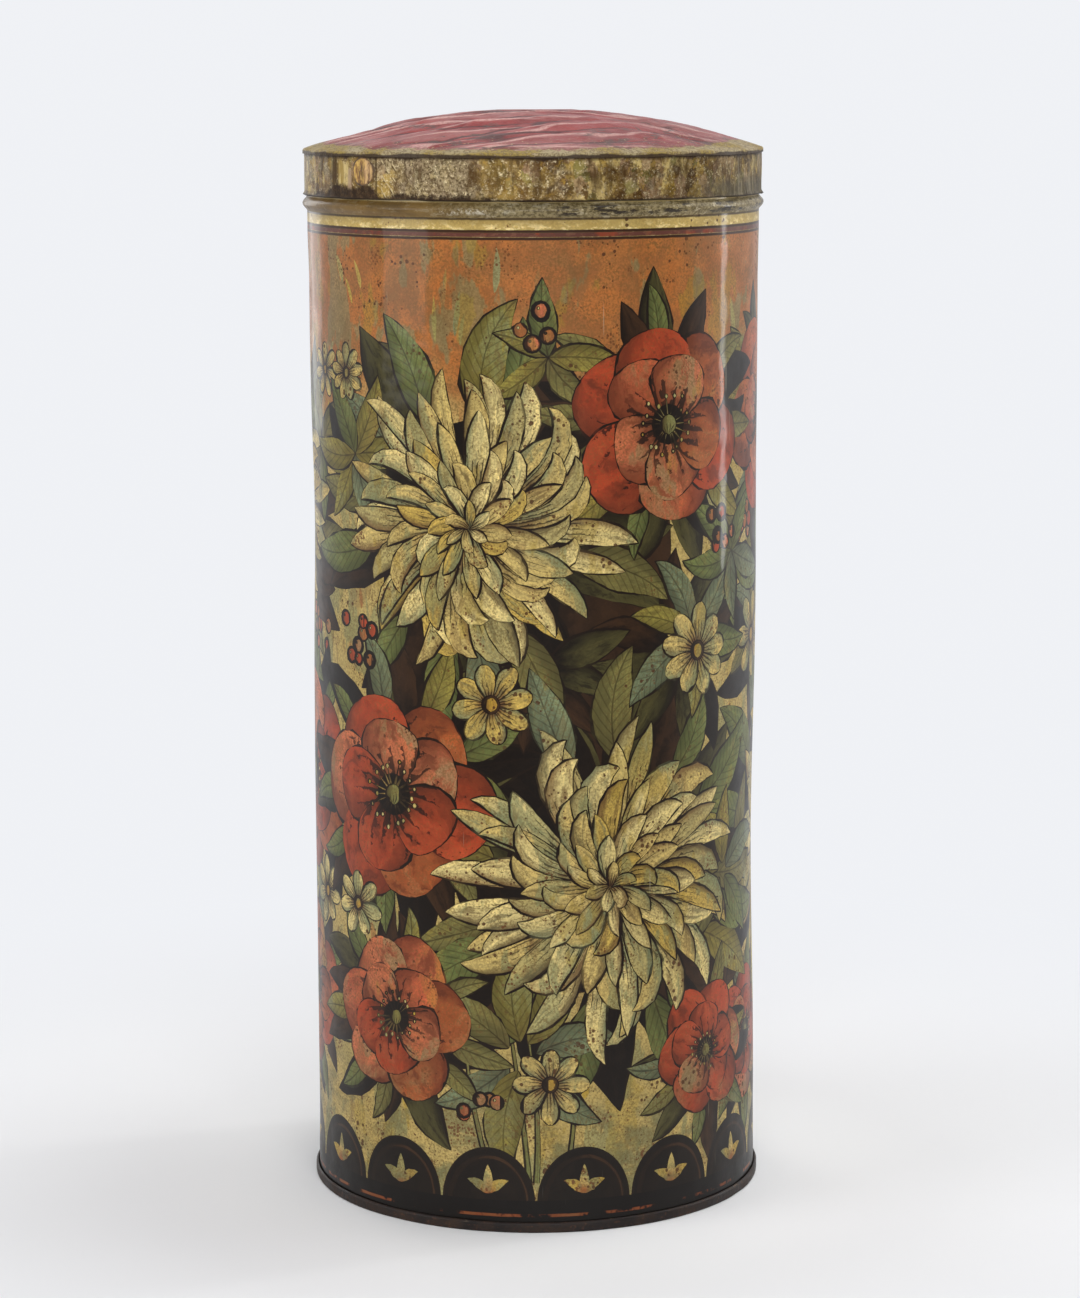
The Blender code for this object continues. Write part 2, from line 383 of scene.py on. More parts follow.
# The sheet is cut along the shapes that show, and along rows and columns, so that it bends.
COLUMN_STEPS = 120
ROW_GAP = 6.0
SNAP = 0.002
lock_edges = [sign * (half_sheet - LOCK_HALF - step) for sign in (-1, 1) for step in (0, LOCK_STEP)]
columns = [half_sheet * (2 * step / COLUMN_STEPS - 1) for step in range(COLUMN_STEPS + 1)]
columns = sorted(columns + lock_edges)
row_count = round((lock_top - LOCK_FOOT) / ROW_GAP)
rows = [LOCK_FOOT + (lock_top - LOCK_FOOT) * step / row_count for step in range(row_count + 1)]
rows = [wall_foot, LOCK_FOOT - LOCK_STEP, *rows, lock_top + LOCK_STEP, bead_foot]

cut_points, cut_edges, top_at = show_through([shape[0] for shape in picture])
cut_points = list(cut_points)
cuts = [((column, rows[0]), (column, rows[-1])) for column in columns]
cuts += [((columns[0], row), (columns[-1], row)) for row in rows]
for start, end in cuts:
    cut_edges.append((len(cut_points), len(cut_points) + 1))
    cut_points += [Vector(start), Vector(end)]
flat_points, _, triangles, _, _, _ = delaunay_2d_cdt(cut_points, cut_edges, [], 0, 1e-4, True)
flat = np.array([tuple(point) for point in flat_points])
for axis, lines in ((0, np.array(columns)), (1, np.array(rows))):
    nearest = lines[np.abs(flat[:, axis, None] - lines).argmin(1)]
    flat[:, axis] = np.where(np.abs(flat[:, axis] - nearest) < SNAP, nearest, flat[:, axis])
_, first, same = np.unique(np.round(flat / SNAP), axis=0, return_index=True, return_inverse=True)
flat, triangles = flat[first], same.ravel()[np.array(triangles)]
whole = [len(set(corners)) == 3 for corners in triangles.tolist()]
triangles = triangles[np.array(whole)]
tops = np.array([top_at(s, z) for s, z in flat[triangles].mean(1)])

# Dents: bearing from the front in degrees, level, depth, half angle and half height.
DENTS = (
    (-88, 192, 0.75, 24, 30),
    (87, 102, 1.0, 26, 46),
    (-24, 142, 0.22, 10, 16),
    (33, 238, 0.16, 9, 14),
    (14, 66, 0.18, 12, 12),
    (148, 128, 0.6, 15, 22),
    (-141, 66, 0.5, 13, 24),
    (-118, 228, 0.3, 10, 16),
)
# Gentle waves all over: turns round the wall, climb for each millimetre up, and start.
WAVES = [(hand.randint(2, 9), hand.uniform(-0.12, 0.12), hand.uniform(0, math.tau)) for _ in range(9)]
WAVE_DEPTH = 0.028


def wall_face(s, z):
    """Distance of the wall's face from the axis; it is calm near the foot, the bead and the seam."""
    bearing = s / WALL_RADIUS
    sunk = 0.0
    for turns, climb, start in WAVES:
        sunk = sunk + WAVE_DEPTH * (1 + np.sin(turns * bearing + climb * z + start))
    for dent_bearing, level, depth, half_angle, half_height in DENTS:
        across = (np.degrees(bearing) - dent_bearing) / half_angle
        up = (z - level) / half_height
        sunk = sunk + depth * np.exp(-1.2 * (across**2 + up**2))
    calm = np.clip((z - 4) / 14, 0, 1) * np.clip((bead_foot - 6 - z) / 12, 0, 1)
    calm = calm * np.clip((3.0 - np.abs(bearing)) / 0.2, 0, 1)
    seam = np.clip((np.abs(s) - half_sheet + LOCK_HALF + LOCK_STEP) / LOCK_STEP, 0, 1)
    seam = seam * np.clip((z - LOCK_FOOT + LOCK_STEP) / LOCK_STEP, 0, 1)
    seam = seam * np.clip((lock_top + LOCK_STEP - z) / LOCK_STEP, 0, 1)
    return WALL_RADIUS - sunk * calm + LOCK_PROUD * seam


def bead_bulge(z):
    reach = np.clip(np.abs(z - BEAD_LEVEL) / BEAD_REACH, 0, 1)
    return BEAD_PROUD * (0.5 + 0.5 * np.cos(math.pi * reach)) ** 0.75


def on_can(s, z, radius):
    """Points in space, in metres, from places on the flat sheet."""
    bearing = np.asarray(s) / WALL_RADIUS
    return np.stack([radius * np.sin(bearing), -radius * np.cos(bearing), z + 0 * bearing], 1) * MM


def turned(profile, columns):
    """The points and four-sided faces of a profile of (radius, z) turned round the can."""
    radius, z = np.array(profile).T
    s = np.array(columns)
    points = on_can(np.tile(s, len(z)), np.repeat(z, len(s)), np.repeat(radius, len(s)))
    corner = np.arange(len(s) - 1) + np.arange(len(z) - 1)[:, None] * len(s)
    faces = np.stack([corner, corner + 1, corner + len(s) + 1, corner + len(s)], 2).reshape(-1, 4)
    return points, faces


def ring_arc(radius, z, size, start, end, steps):
    """Part of a circle in the profile, with angles in degrees from straight out."""
    angles = np.radians(np.linspace(start, end, steps + 1))
    return [(radius + size * math.cos(angle), z + size * math.sin(angle)) for angle in angles]


bead_rows = np.linspace(bead_foot, bead_top, 19)
curl_middle = (WALL_RADIUS - CURL, neck_top - CURL)
outside = [(WALL_RADIUS + bead_bulge(z), z) for z in bead_rows] + [(WALL_RADIUS, NECK_MIDDLE)]
outside += ring_arc(*curl_middle, CURL, 0, 270, 14)
inside = ring_arc(*curl_middle, CURL - SHEET, 270, 0, 10) + [(WALL_RADIUS - SHEET, NECK_MIDDLE)]
inside += [(WALL_RADIUS - SHEET + bead_bulge(z), z) for z in bead_rows[::-1]]
upper_points, upper_faces = turned(outside + inside, columns)
_, lining_faces = turned([(WALL_RADIUS - SHEET, z) for z in rows[::-1]], columns)
lining_s, lining_z = np.tile(columns, len(rows)), np.repeat(rows[::-1], len(columns))
lining_sunk = np.maximum(0, WALL_RADIUS - wall_face(lining_s, lining_z))
lining_points = on_can(lining_s, lining_z, WALL_RADIUS - SHEET - lining_sunk)
foot_points, foot_faces = turned([(WALL_RADIUS - SHEET, wall_foot), (WALL_RADIUS, wall_foot)], columns)

sheet_points = on_can(flat[:, 0], flat[:, 1], wall_face(flat[:, 0], flat[:, 1]))
nudge = 0.05
side_way = on_can(flat[:, 0] + nudge, flat[:, 1], wall_face(flat[:, 0] + nudge, flat[:, 1])) - sheet_points
up_way = on_can(flat[:, 0], flat[:, 1] + nudge, wall_face(flat[:, 0], flat[:, 1] + nudge)) - sheet_points
sheet_normals = np.cross(side_way, up_way)
sheet_normals /= np.linalg.norm(sheet_normals, axis=1)[:, None]


def weld(parts):
    """Joins (points, faces) parts, with points at one place made one."""
    points = np.concatenate([part[0] for part in parts])
    starts = np.cumsum([0] + [len(part[0]) for part in parts])
    keys = np.round(points / 1e-8)
    _, first, same = np.unique(keys, axis=0, return_index=True, return_inverse=True)
    faces = []
    for start, part in zip(starts, parts):
        corners = same.ravel()[np.asarray(part[1]) + start].tolist()
        faces += [list(dict.fromkeys(face)) for face in corners]
    return points[first], faces, first


def new_piece(name, points, faces, finishes):
    """A smooth-shaded object at the origin."""
    mesh = bpy.data.meshes.new(name)
    mesh.from_pydata(points.tolist(), [], faces)
    mesh.shade_smooth()
    for finish in finishes:
        mesh.materials.append(finish)
    piece = bpy.data.objects.new(name, mesh)
    bpy.context.scene.collection.objects.link(piece)
    return piece


class Nodes:
    """Short calls that add a node to a tree, link it and give back its output."""

    def add(self, kind, inputs, output=0, **settings):
        made = self.tree.nodes.new(kind)
        for setting, value in settings.items():
            setattr(made, setting, value)
        for socket, value in inputs.items():
            self.set(made.inputs[socket], value)
        return made.outputs[output]

    def set(self, socket, value):
        if isinstance(value, bpy.types.NodeSocket):
            self.tree.links.new(value, socket)
        elif socket.type == "RGBA":
            socket.default_value = (*value, 1)
        else:
            socket.default_value = value

    def sum(self, operation, a, b=0.0, c=0.0):
        return self.add("ShaderNodeMath", {0: a, 1: b, 2: c}, operation=operation)

    def fade(self, value, low, high, to_low=0.0, to_high=1.0):
        """Runs smoothly from to_low, where value is low, to to_high, where it is high."""
        inputs = {0: value, 1: low, 2: high, 3: to_low, 4: to_high}
        return self.add("ShaderNodeMapRange", inputs, interpolation_type="SMOOTHSTEP")

    def mix(self, share, a, b, blend="MIX"):
        return self.add("ShaderNodeMix", {0: share, 6: a, 7: b}, 2, data_type="RGBA", blend_type=blend)

    def parts(self, vector):
        split = self.tree.nodes.new("ShaderNodeSeparateXYZ")
        self.tree.links.new(vector, split.inputs[0])
        return split.outputs


class Finish(Nodes):
    """One material of the can."""

    def __init__(self, name):
        self.material = bpy.data.materials.new(name)
        self.material.use_nodes = True
        self.tree = self.material.node_tree
        self.shader = self.tree.nodes["Principled BSDF"]
        self.spot = self.tree.nodes.new("ShaderNodeTexCoord").outputs["Object"]

    def stretched(self, stretch=(1, 1, 1), shift=0.0):
        """Object coordinates in millimetres, with a pattern made longer along an axis."""
        scale = tuple(1 / (MM * each) for each in stretch)
        return self.add("ShaderNodeMapping", {0: self.spot, 1: (shift, shift, shift), 3: scale})

    def grain(self, size, detail=2.0, rough=0.5, stretch=(1, 1, 1), shift=0.0):
        """Smooth noise with lumps of a size in millimetres."""
        inputs = {0: self.stretched(stretch, shift), 2: 1 / size, 3: detail, 4: rough}
        return self.add("ShaderNodeTexNoise", inputs)

    def cells(self, size, shift=0.0, output=0):
        """Cells of a size in millimetres: output 0 is the distance from each one's heart, 1 its colour."""
        inputs = {0: self.stretched(shift=shift), 2: 1 / size}
        return self.add("ShaderNodeTexVoronoi", inputs, output)

    def stored(self, name, output=1):
        """An attribute of the mesh: output 1 gives a vector, and 2 a single value."""
        return self.add("ShaderNodeAttribute", {}, output, attribute_name=name)

    def bump(self, height, distance, strength=1.0, under=None):
        inputs = {0: strength, 1: distance, 3: height}
        if under is not None:
            inputs[4] = under
        return self.add("ShaderNodeBump", inputs)


# Levels of the print's borders: a dark band with a thin line in it at the foot, and near the top
# a stripe between two lines on a cream band, which runs on under the paint of the bead. A flush
# of red comes in towards the top, and the ground's own length tells it from the painted shapes.
DARK_BAND_TOP = 9.0
THIN_LINE = (4.35, 5.15)
FLUSH = (246, 278)
CREAM_BAND = (273.3, 290)
STRIPE = (273.9, 275.1)
STRIPE_LINES = ((273.1, 273.85), (275.05, 275.8))
GROUND_LENGTH = 200.0


def printed_finish():
    """Litho ink under an aged varnish: outlines, hatching, washes, borders, stipple and rust."""
    print_ = Finish("printed tinplate")
    sum_, fade, mix = print_.sum, print_.fade, print_.mix
    along, across, half = print_.parts(print_.stored("place"))[:3]
    length, hatch, veins = print_.parts(print_.stored("make"))[:3]
    seed = print_.stored("seed", 2)
    x, _, z = print_.parts(print_.spot)
    level = sum_("DIVIDE", z, MM)
    tremble = sum_("SUBTRACT", print_.grain(2.6, 3, 0.6), 0.5)
    mottle = print_.grain(9, 4, 0.6, shift=3)
    patches = print_.grain(26, 3, 0.6, stretch=(1, 1, 1.7), shift=8)
    fine = print_.grain(0.62, 2, 0.6, shift=5)
    away = sum_("ABSOLUTE", across)
    share = sum_("DIVIDE", along, length)
    side = sum_("MULTIPLY_ADD", tremble, 0.5, sum_("DIVIDE", across, sum_("MAXIMUM", half, 0.05)))
    ground = fade(length, 0.75 * GROUND_LENGTH, 0.95 * GROUND_LENGTH)
    drawn = sum_("MULTIPLY", sum_("SUBTRACT", 1, ground), fade(hatch, LOOSE, 0))

    def where(mask, low, high, most):
        return sum_("MULTIPLY", fade(mask, low, high, 0, most), drawn)

    # Body colour from root to tip, with a shaded side and brush strokes that run along the shape
    run = fade(sum_("MULTIPLY_ADD", tremble, 0.5, share), 0.02, 0.6)
    colour = mix(run, print_.stored("root"), print_.stored("tip"))
    shade = print_.stored("shade")
    colour = mix(where(side, 0.0, 0.95, 0.85), colour, shade)
    brush_x, brush_y = sum_("DIVIDE", along, 9), sum_("MULTIPLY", side, 2.4)
    brush_place = {0: brush_x, 1: brush_y, 2: sum_("MULTIPLY", seed, 90)}
    brush_place = print_.add("ShaderNodeCombineXYZ", brush_place)
    brush = print_.add("ShaderNodeTexNoise", {0: brush_place, 2: 1.0, 3: 4.0, 4: 0.66})
    colour = mix(where(brush, 0.5, 0.66, 0.65), colour, mix(0.4, shade, print_.stored("root")))
    lighter = mix(1, colour, (1.6, 1.55, 1.4), "MULTIPLY")
    colour = mix(where(brush, 0.5, 0.36, 0.5), colour, lighter)
    colour = mix(where(side, -0.25, -0.85, 0.3), colour, lighter)

    # Washes: a flush high on the wall, and cool and warm patches with brushed edges
    pale = fade(print_.add("ShaderNodeRGBToBW", {0: colour}), 0.10, 0.21)
    rough_edge = sum_("MULTIPLY_ADD", tremble, 14, sum_("MULTIPLY_ADD", patches, 60, level))
    flush = sum_("MULTIPLY", fade(rough_edge, *FLUSH), ground)
    flush_colour = mix(fade(mottle, 0.4, 0.6), (0.37, 0.115, 0.026), (0.26, 0.055, 0.012))
    colour = mix(sum_("MULTIPLY", flush, fade(mottle, 0.3, 0.7, 0.98, 0.75)), colour, flush_colour)

    def wash(size, shift, low, most, paint):
        spread = fade(print_.grain(size, 4, 0.6, stretch=(0.7, 0.7, 1.7), shift=shift), low, low + 0.035)
        return mix(sum_("MULTIPLY", sum_("MULTIPLY", spread, pale), most), colour, paint)

    colour = wash(15, 21, 0.54, 0.55, (0.16, 0.19, 0.09))
    colour = wash(19, 33, 0.58, 0.45, (0.30, 0.20, 0.022))
    colour = wash(13, 47, 0.60, 0.4, (0.16, 0.085, 0.03))

    # Drawn lines: outlines, hatching from the root, and the veins of leaves
    edge = sum_("MINIMUM", sum_("SUBTRACT", half, away), sum_("SUBTRACT", length, along))
    thick = fade(print_.grain(7, 2, 0.5, shift=11), 0.3, 0.7, 0.12, 0.5)
    thick = sum_("MULTIPLY_ADD", fade(side, 0.0, 0.6), 0.3, thick)
    ink = fade(sum_("SUBTRACT", edge, thick), -0.08, 0.12, 1, 0)
    lane = sum_("FRACT", sum_("MULTIPLY_ADD", seed, 7.3, sum_("MULTIPLY", side, 2.4)))
    lane = sum_("ABSOLUTE", sum_("MULTIPLY_ADD", lane, 2, -1))
    stroke = fade(sum_("MULTIPLY_ADD", tremble, 1.1, share), 0.0, 0.75, 0.75, 0)
    stroke = sum_("MULTIPLY", stroke, hatch)
    hatching = fade(sum_("SUBTRACT", lane, stroke), -0.1, 0.06, 1, 0)
    hatching = sum_("MULTIPLY", hatching, fade(stroke, 0.02, 0.10))
    rib = fade(sum_("MULTIPLY_ADD", tremble, 0.5, away), 0.12, 0.34, 1, 0)
    vein = sum_("FRACT", sum_("DIVIDE", sum_("MULTIPLY_ADD", away, -1.3, along), 2.9))
    vein = fade(sum_("ABSOLUTE", sum_("SUBTRACT", vein, 0.5)), 0.06, 0.15, 1, 0)
    vein = sum_("MULTIPLY", sum_("MAXIMUM", rib, sum_("MULTIPLY", vein, 0.6)), veins)
    colour = mix(sum_("MULTIPLY", vein, 0.65), colour, between(UMBER, INK, 0.5))
    lines = sum_("MULTIPLY", sum_("MAXIMUM", ink, sum_("MULTIPLY", hatching, 0.85)), drawn)
    lines = sum_("MULTIPLY", lines, fade(mottle, 0.3, 0.5, 0.75, 1))
    colour = mix(lines, colour, between(UMBER, INK, 0.8))

    # Borders: a stripe between two dark lines at the top, and a dark band with a thin line below
    wavy = sum_("MULTIPLY_ADD", tremble, 0.22, level)

    def band(low, high, soft=0.12):
        rise = fade(wavy, low - soft, low + soft)
        return sum_("MULTIPLY", rise, fade(wavy, high - soft, high + soft, 1, 0))

    flecks = fade(print_.grain(1.6, 4, 0.7, stretch=(2, 2, 1), shift=17), 0.5, 0.6)
    low_fleck = sum_("MULTIPLY", flecks, fade(wavy, bead_foot - 3.2, bead_foot - 0.6, 1, 0.35))
    cream = mix(low_fleck, (0.48, 0.345, 0.11), (0.78, 0.62, 0.29))
    tarnish = fade(wavy, bead_foot - 2.6, bead_foot - 0.5)
    tarnish = sum_("MULTIPLY", tarnish, fade(x, -0.01, 0.035, 0.6, 0.2))
    colour = mix(band(*CREAM_BAND), colour, mix(tarnish, cream, (0.25, 0.170, 0.050)))
    stripe = mix(fade(mottle, 0.52, 0.62), (0.110, 0.038, 0.027), (0.25, 0.046, 0.022))
    colour = mix(band(*STRIPE), colour, mix(sum_("MULTIPLY", flecks, 0.4), stripe, (0.22, 0.09, 0.05)))
    for low, high in STRIPE_LINES:
        colour = mix(band(low, high), colour, (0.04, 0.017, 0.008))
    dark_band = fade(wavy, DARK_BAND_TOP - 0.1, DARK_BAND_TOP + 0.15, 1, 0)
    colour = mix(dark_band, colour, (0.006, 0.004, 0.003))
    worn_line = sum_("MULTIPLY", band(*THIN_LINE), fade(print_.grain(13, 4, 0.7, shift=14), 0.45, 0.52))
    colour = mix(worn_line, colour, (0.20, 0.048, 0.014))

    # Age: yellowed and darkened varnish, grime, stipple, rust specks and scratches
    colour = mix(fade(mottle, 0.3, 0.75, 0.0, 0.3), colour, mix(1, colour, (0.62, 0.56, 0.42), "MULTIPLY"))
    colour = mix(fade(patches, 0.45, 0.75, 0.0, 0.4), colour, mix(1, colour, (0.70, 0.66, 0.52), "MULTIPLY"))
    lit = fade(print_.add("ShaderNodeRGBToBW", {0: colour}), 0.03, 0.16)
    smoke = fade(print_.grain(10, 4, 0.65, stretch=(1.6, 1.6, 1), shift=37), 0.42, 0.6)
    smoke = sum_("MULTIPLY", smoke, fade(level, 60, 24, 0.1, 0.8))
    colour = mix(sum_("MULTIPLY", smoke, lit), colour, (0.13, 0.125, 0.055))
    dense = fade(print_.grain(6, 3, 0.6, shift=55), 0.3, 0.7, 0.35, 0.95)
    dense = sum_("MULTIPLY", dense, fade(level, bead_foot - 3.8, bead_foot - 2.8, 1, 0.35))
    stipple = sum_("MULTIPLY", fade(fine, 0.49, 0.575, 0, 0.68), sum_("MULTIPLY", lit, dense))
    colour = mix(stipple, colour, (0.120, 0.070, 0.019))
    glints = sum_("MULTIPLY", fade(fine, 0.44, 0.32, 0, 0.5), lit)
    colour = mix(glints, colour, mix(1, colour, (1.45, 1.4, 1.3), "MULTIPLY"))

    def specks(size, shift, cluster, low, grow, paint, most):
        crowd = fade(print_.grain(cluster, 3, 0.6, shift=shift), low, low + 0.14)
        crowd = sum_("ADD", crowd, fade(level, 24, 90, 0.4, 0))
        chance = print_.parts(print_.cells(size, shift, 1))[0]
        across_ = sum_("MULTIPLY", sum_("MULTIPLY", chance, crowd), grow)
        spots = fade(sum_("SUBTRACT", print_.cells(size, shift), across_), -0.06, 0.05, 1, 0)
        spots = sum_("MULTIPLY", sum_("MULTIPLY", spots, fade(across_, 0.08, 0.14)), lit)
        return spots, mix(sum_("MULTIPLY", spots, most), colour, paint)

    _, colour = specks(0.8, 4, 11, 0.53, 0.62, (0.11, 0.038, 0.013), 0.85)
    rust, colour = specks(1.5, 2, 17, 0.49, 0.46, (0.065, 0.024, 0.010), 0.9)
    scratch = fade(print_.grain(1.1, 1, 0.5, stretch=(1, 1, 30), shift=52), 0.74, 0.78)
    scratch = sum_("MULTIPLY", scratch, fade(print_.grain(30, 2, 0.5, shift=61), 0.55, 0.62))
    colour = mix(sum_("MULTIPLY", scratch, 0.4), colour, (0.42, 0.36, 0.25))

    # Bead and neck: the print is rubbed down to tin on the bead, and ends above it
    on_bead = fade(level, bead_foot - 0.3, bead_foot + 0.6)
    on_bead = sum_("MULTIPLY", on_bead, fade(level, bead_top - 0.2, bead_top + 0.1, 1, 0))
    greyer = fade(x, -0.036, -0.004)
    olive = mix(fade(mottle, 0.4, 0.6), (0.15, 0.084, 0.022), (0.10, 0.056, 0.016))
    mottled = fade(print_.grain(0.9, 3, 0.7, shift=66), 0.42, 0.58)
    mottled = mix(mottled, (0.088, 0.066, 0.029), (0.235, 0.187, 0.095))
    bead_paint = mix(greyer, olive, mottled)
    colour = mix(sum_("MULTIPLY", on_bead, 0.92), colour, bead_paint)
    # A thin dark line along the bead's foot.
    bead_foot_line = fade(sum_("ABSOLUTE", sum_("SUBTRACT", wavy, bead_foot - 0.1)), 0.15, 0.5, 0.9, 0)
    colour = mix(bead_foot_line, colour, (0.035, 0.020, 0.010))
    rubbed = fade(print_.grain(1.4, 4, 0.75, stretch=(2.4, 2.4, 1), shift=71), 0.56, 0.62)
    rubbed = sum_("MULTIPLY", sum_("MULTIPLY", on_bead, rubbed), sum_("MULTIPLY_ADD", greyer, 0.8, 0.2))
    soot = fade(print_.grain(1.9, 4, 0.75, stretch=(4.5, 4.5, 1), shift=81), 0.51, 0.59)
    soot = sum_("MULTIPLY", sum_("MULTIPLY", on_bead, soot), fade(x, -0.01, 0.012, 0.2, 1))
    off_middle = sum_("ABSOLUTE", sum_("SUBTRACT", wavy, BEAD_LEVEL))
    soot = sum_("MULTIPLY", soot, fade(off_middle, 0.9, 1.8, 1, 0.2))
    fleck_row = fade(sum_("ABSOLUTE", sum_("SUBTRACT", wavy, BEAD_LEVEL - 0.3)), 0.2, 1.3, 1, 0)
    fleck_row = sum_("MULTIPLY", fleck_row, fade(sum_("ABSOLUTE", sum_("ADD", x, 0.016)), 0.013, 0.004))
    fleck_row = sum_("MULTIPLY", fleck_row, fade(print_.grain(3.1, 5, 0.85, shift=29), 0.49, 0.62))
    neck = fade(level, bead_top - 0.1, bead_top + 0.3)
    colour = mix(sum_("MULTIPLY", rubbed, 0.6), colour, (0.50, 0.43, 0.28))
    colour = mix(sum_("MULTIPLY", soot, 0.92), colour, (0.020, 0.014, 0.010))
    colour = mix(sum_("MULTIPLY", fleck_row, 0.8), colour, (0.60, 0.55, 0.43))
    colour = mix(neck, colour, mix(mottle, (0.36, 0.30, 0.18), (0.16, 0.12, 0.06)))
    bare = sum_("MAXIMUM", sum_("MULTIPLY", rubbed, 0.5), sum_("MULTIPLY", neck, 0.75))

    shader = print_.shader
    print_.set(shader.inputs["Base Color"], colour)
    print_.set(shader.inputs["Metallic"], bare)
    rough = fade(mottle, 0.3, 0.7, 0.40, 0.54)
    print_.set(shader.inputs["Roughness"], sum_("MULTIPLY_ADD", rust, 0.2, rough))
    shader.inputs["Specular IOR Level"].default_value = 0.12
    shader.inputs["Coat Weight"].default_value = 0.24
    shader.inputs["Coat Roughness"].default_value = 0.09
    soft_waves = print_.bump(print_.grain(14, 2, 0.5, shift=91), 0.0006, 0.5)
    print_.set(shader.inputs["Normal"], print_.bump(fine, 0.00004, 0.5, soft_waves))
    print_.set(shader.inputs["Coat Normal"], soft_waves)
    return print_.material


def bare_tin_finish():
    """The inside of the sheet: unprinted tin, dulled and stained."""
    tin = Finish("bare tin inside")
    stain = tin.grain(11, 4, 0.6)
    colour = tin.mix(tin.fade(stain, 0.35, 0.7), (0.46, 0.44, 0.38), (0.24, 0.19, 0.12))
    specks = tin.fade(tin.grain(1.3, 3, 0.7, shift=4), 0.62, 0.68)
    colour = tin.mix(tin.sum("MULTIPLY", specks, 0.6), colour, (0.12, 0.055, 0.02))
    tin.set(tin.shader.inputs["Base Color"], colour)
    tin.set(tin.shader.inputs["Roughness"], tin.fade(stain, 0.3, 0.7, 0.32, 0.55))
    tin.shader.inputs["Metallic"].default_value = 0.85
    tin.set(tin.shader.inputs["Normal"], tin.bump(tin.grain(5, 3), 0.0003, 0.4))
    return tin.material


bare_tin = bare_tin_finish()
wall_parts = [(sheet_points, triangles), (upper_points, upper_faces)]
wall_parts += [(lining_points, lining_faces), (foot_points, foot_faces)]
wall_points, wall_faces, first = weld(wall_parts)
wall = new_piece("printed_wall", wall_points, wall_faces, [printed_finish(), bare_tin])
mesh = wall.data
outside_count = len(triangles) + (len(outside) - 1) * (len(columns) - 1)
material_index = np.zeros(len(wall_faces), int)
material_index[outside_count:] = 1
mesh.polygons.foreach_set("material_index", material_index)

# What the finish needs to know of each face's shape, and of each corner's place in it.
lengths = [np.linalg.norm(np.diff(shape[1], axis=0), axis=1).sum() for shape in picture]
looks = [(*shape[3:6], (reach, *shape[6:8]), shape[8]) for shape, reach in zip(picture, lengths)]
ground = between(CREAM, OCHRE, 0.15)
looks.append((ground, ground, ground, (GROUND_LENGTH, 0.0, 0.0), 0.5))
face_look = np.full(len(wall_faces), -1)
face_look[: len(triangles)] = tops
for number, name in enumerate(("root", "tip", "shade", "make", "seed")):
    values = np.array([look[number] for look in looks], dtype=np.float32)[face_look]
    single = values.ndim == 1
    layer = mesh.attributes.new(name, "FLOAT" if single else "FLOAT_VECTOR", "FACE")
    layer.data.foreach_set("value" if single else "vector", values.ravel())

corner_flat = flat[triangles.ravel()]
corner_tops = np.repeat(tops, 3)
ground_place = np.array([GROUND_LENGTH / 2, 0.0, GROUND_LENGTH / 2])
place = np.tile(ground_place, (len(mesh.loops), 1))
order = np.argsort(corner_tops, kind="stable")
ends = np.searchsorted(corner_tops[order], np.arange(len(picture) + 1))
for shape, start, end in zip(picture, ends, ends[1:]):
    mine = order[start:end]
    if len(mine):
        place[mine] = near_line(shape[1], shape[2], corner_flat[mine])
layer = mesh.attributes.new("place", "FLOAT_VECTOR", "CORNER")
layer.data.foreach_set("vector", place.astype(np.float32).ravel())

# The wall laid out flat on one map: the print above, then the bead and neck, then the inside.
PRINT_MAP = (0.20, 1.0)
NECK_MAP = (0.14, 0.195)
FOOT_MAP = (0.12, 0.135)
LINING_MAP = (0.0, 0.115)


def on_map(s, share, low, high):
    """Places on the map, from places round the wall and shares of the way up a strip of it."""
    return np.stack([(np.asarray(s) + half_sheet) / (2 * half_sheet), low + (high - low) * share], 1)


def strip_on_map(faces, row_total, low, high):
    corners = np.asarray(faces).ravel()
    column, row = corners % len(columns), corners // len(columns)
    return on_map(np.array(columns)[column], row / (row_total - 1), low, high)


bake_map = mesh.uv_layers.new(name="OFBake")
spots = [on_map(corner_flat[:, 0], corner_flat[:, 1] / bead_foot, *PRINT_MAP)]
spots.append(strip_on_map(upper_faces, len(outside + inside), *NECK_MAP))
spots.append(strip_on_map(lining_faces, len(rows), *LINING_MAP))
spots.append(strip_on_map(foot_faces, 2, *FOOT_MAP))
bake_map.data.foreach_set("uv", np.concatenate(spots).astype(np.float32).ravel())

vertex_normals = np.array([tuple(vertex.normal) for vertex in mesh.vertices])
from_sheet = first < len(sheet_points)
vertex_normals[from_sheet] = sheet_normals[first[from_sheet]]
mesh.normals_split_custom_set_from_vertices(vertex_normals.tolist())
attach(wall, "can")
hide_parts("body_wall")

# The solder of the lock seam
# A run of soft solder, wiped down the inside of the folded seam with a hot iron, so that its
# face is lumpy and its edges wander.
SOLDER_WIDE = 7.0
SOLDER_DEEP = 0.4
SOLDER_ROWS = 150
SOLDER_SIDE_STEPS = 10

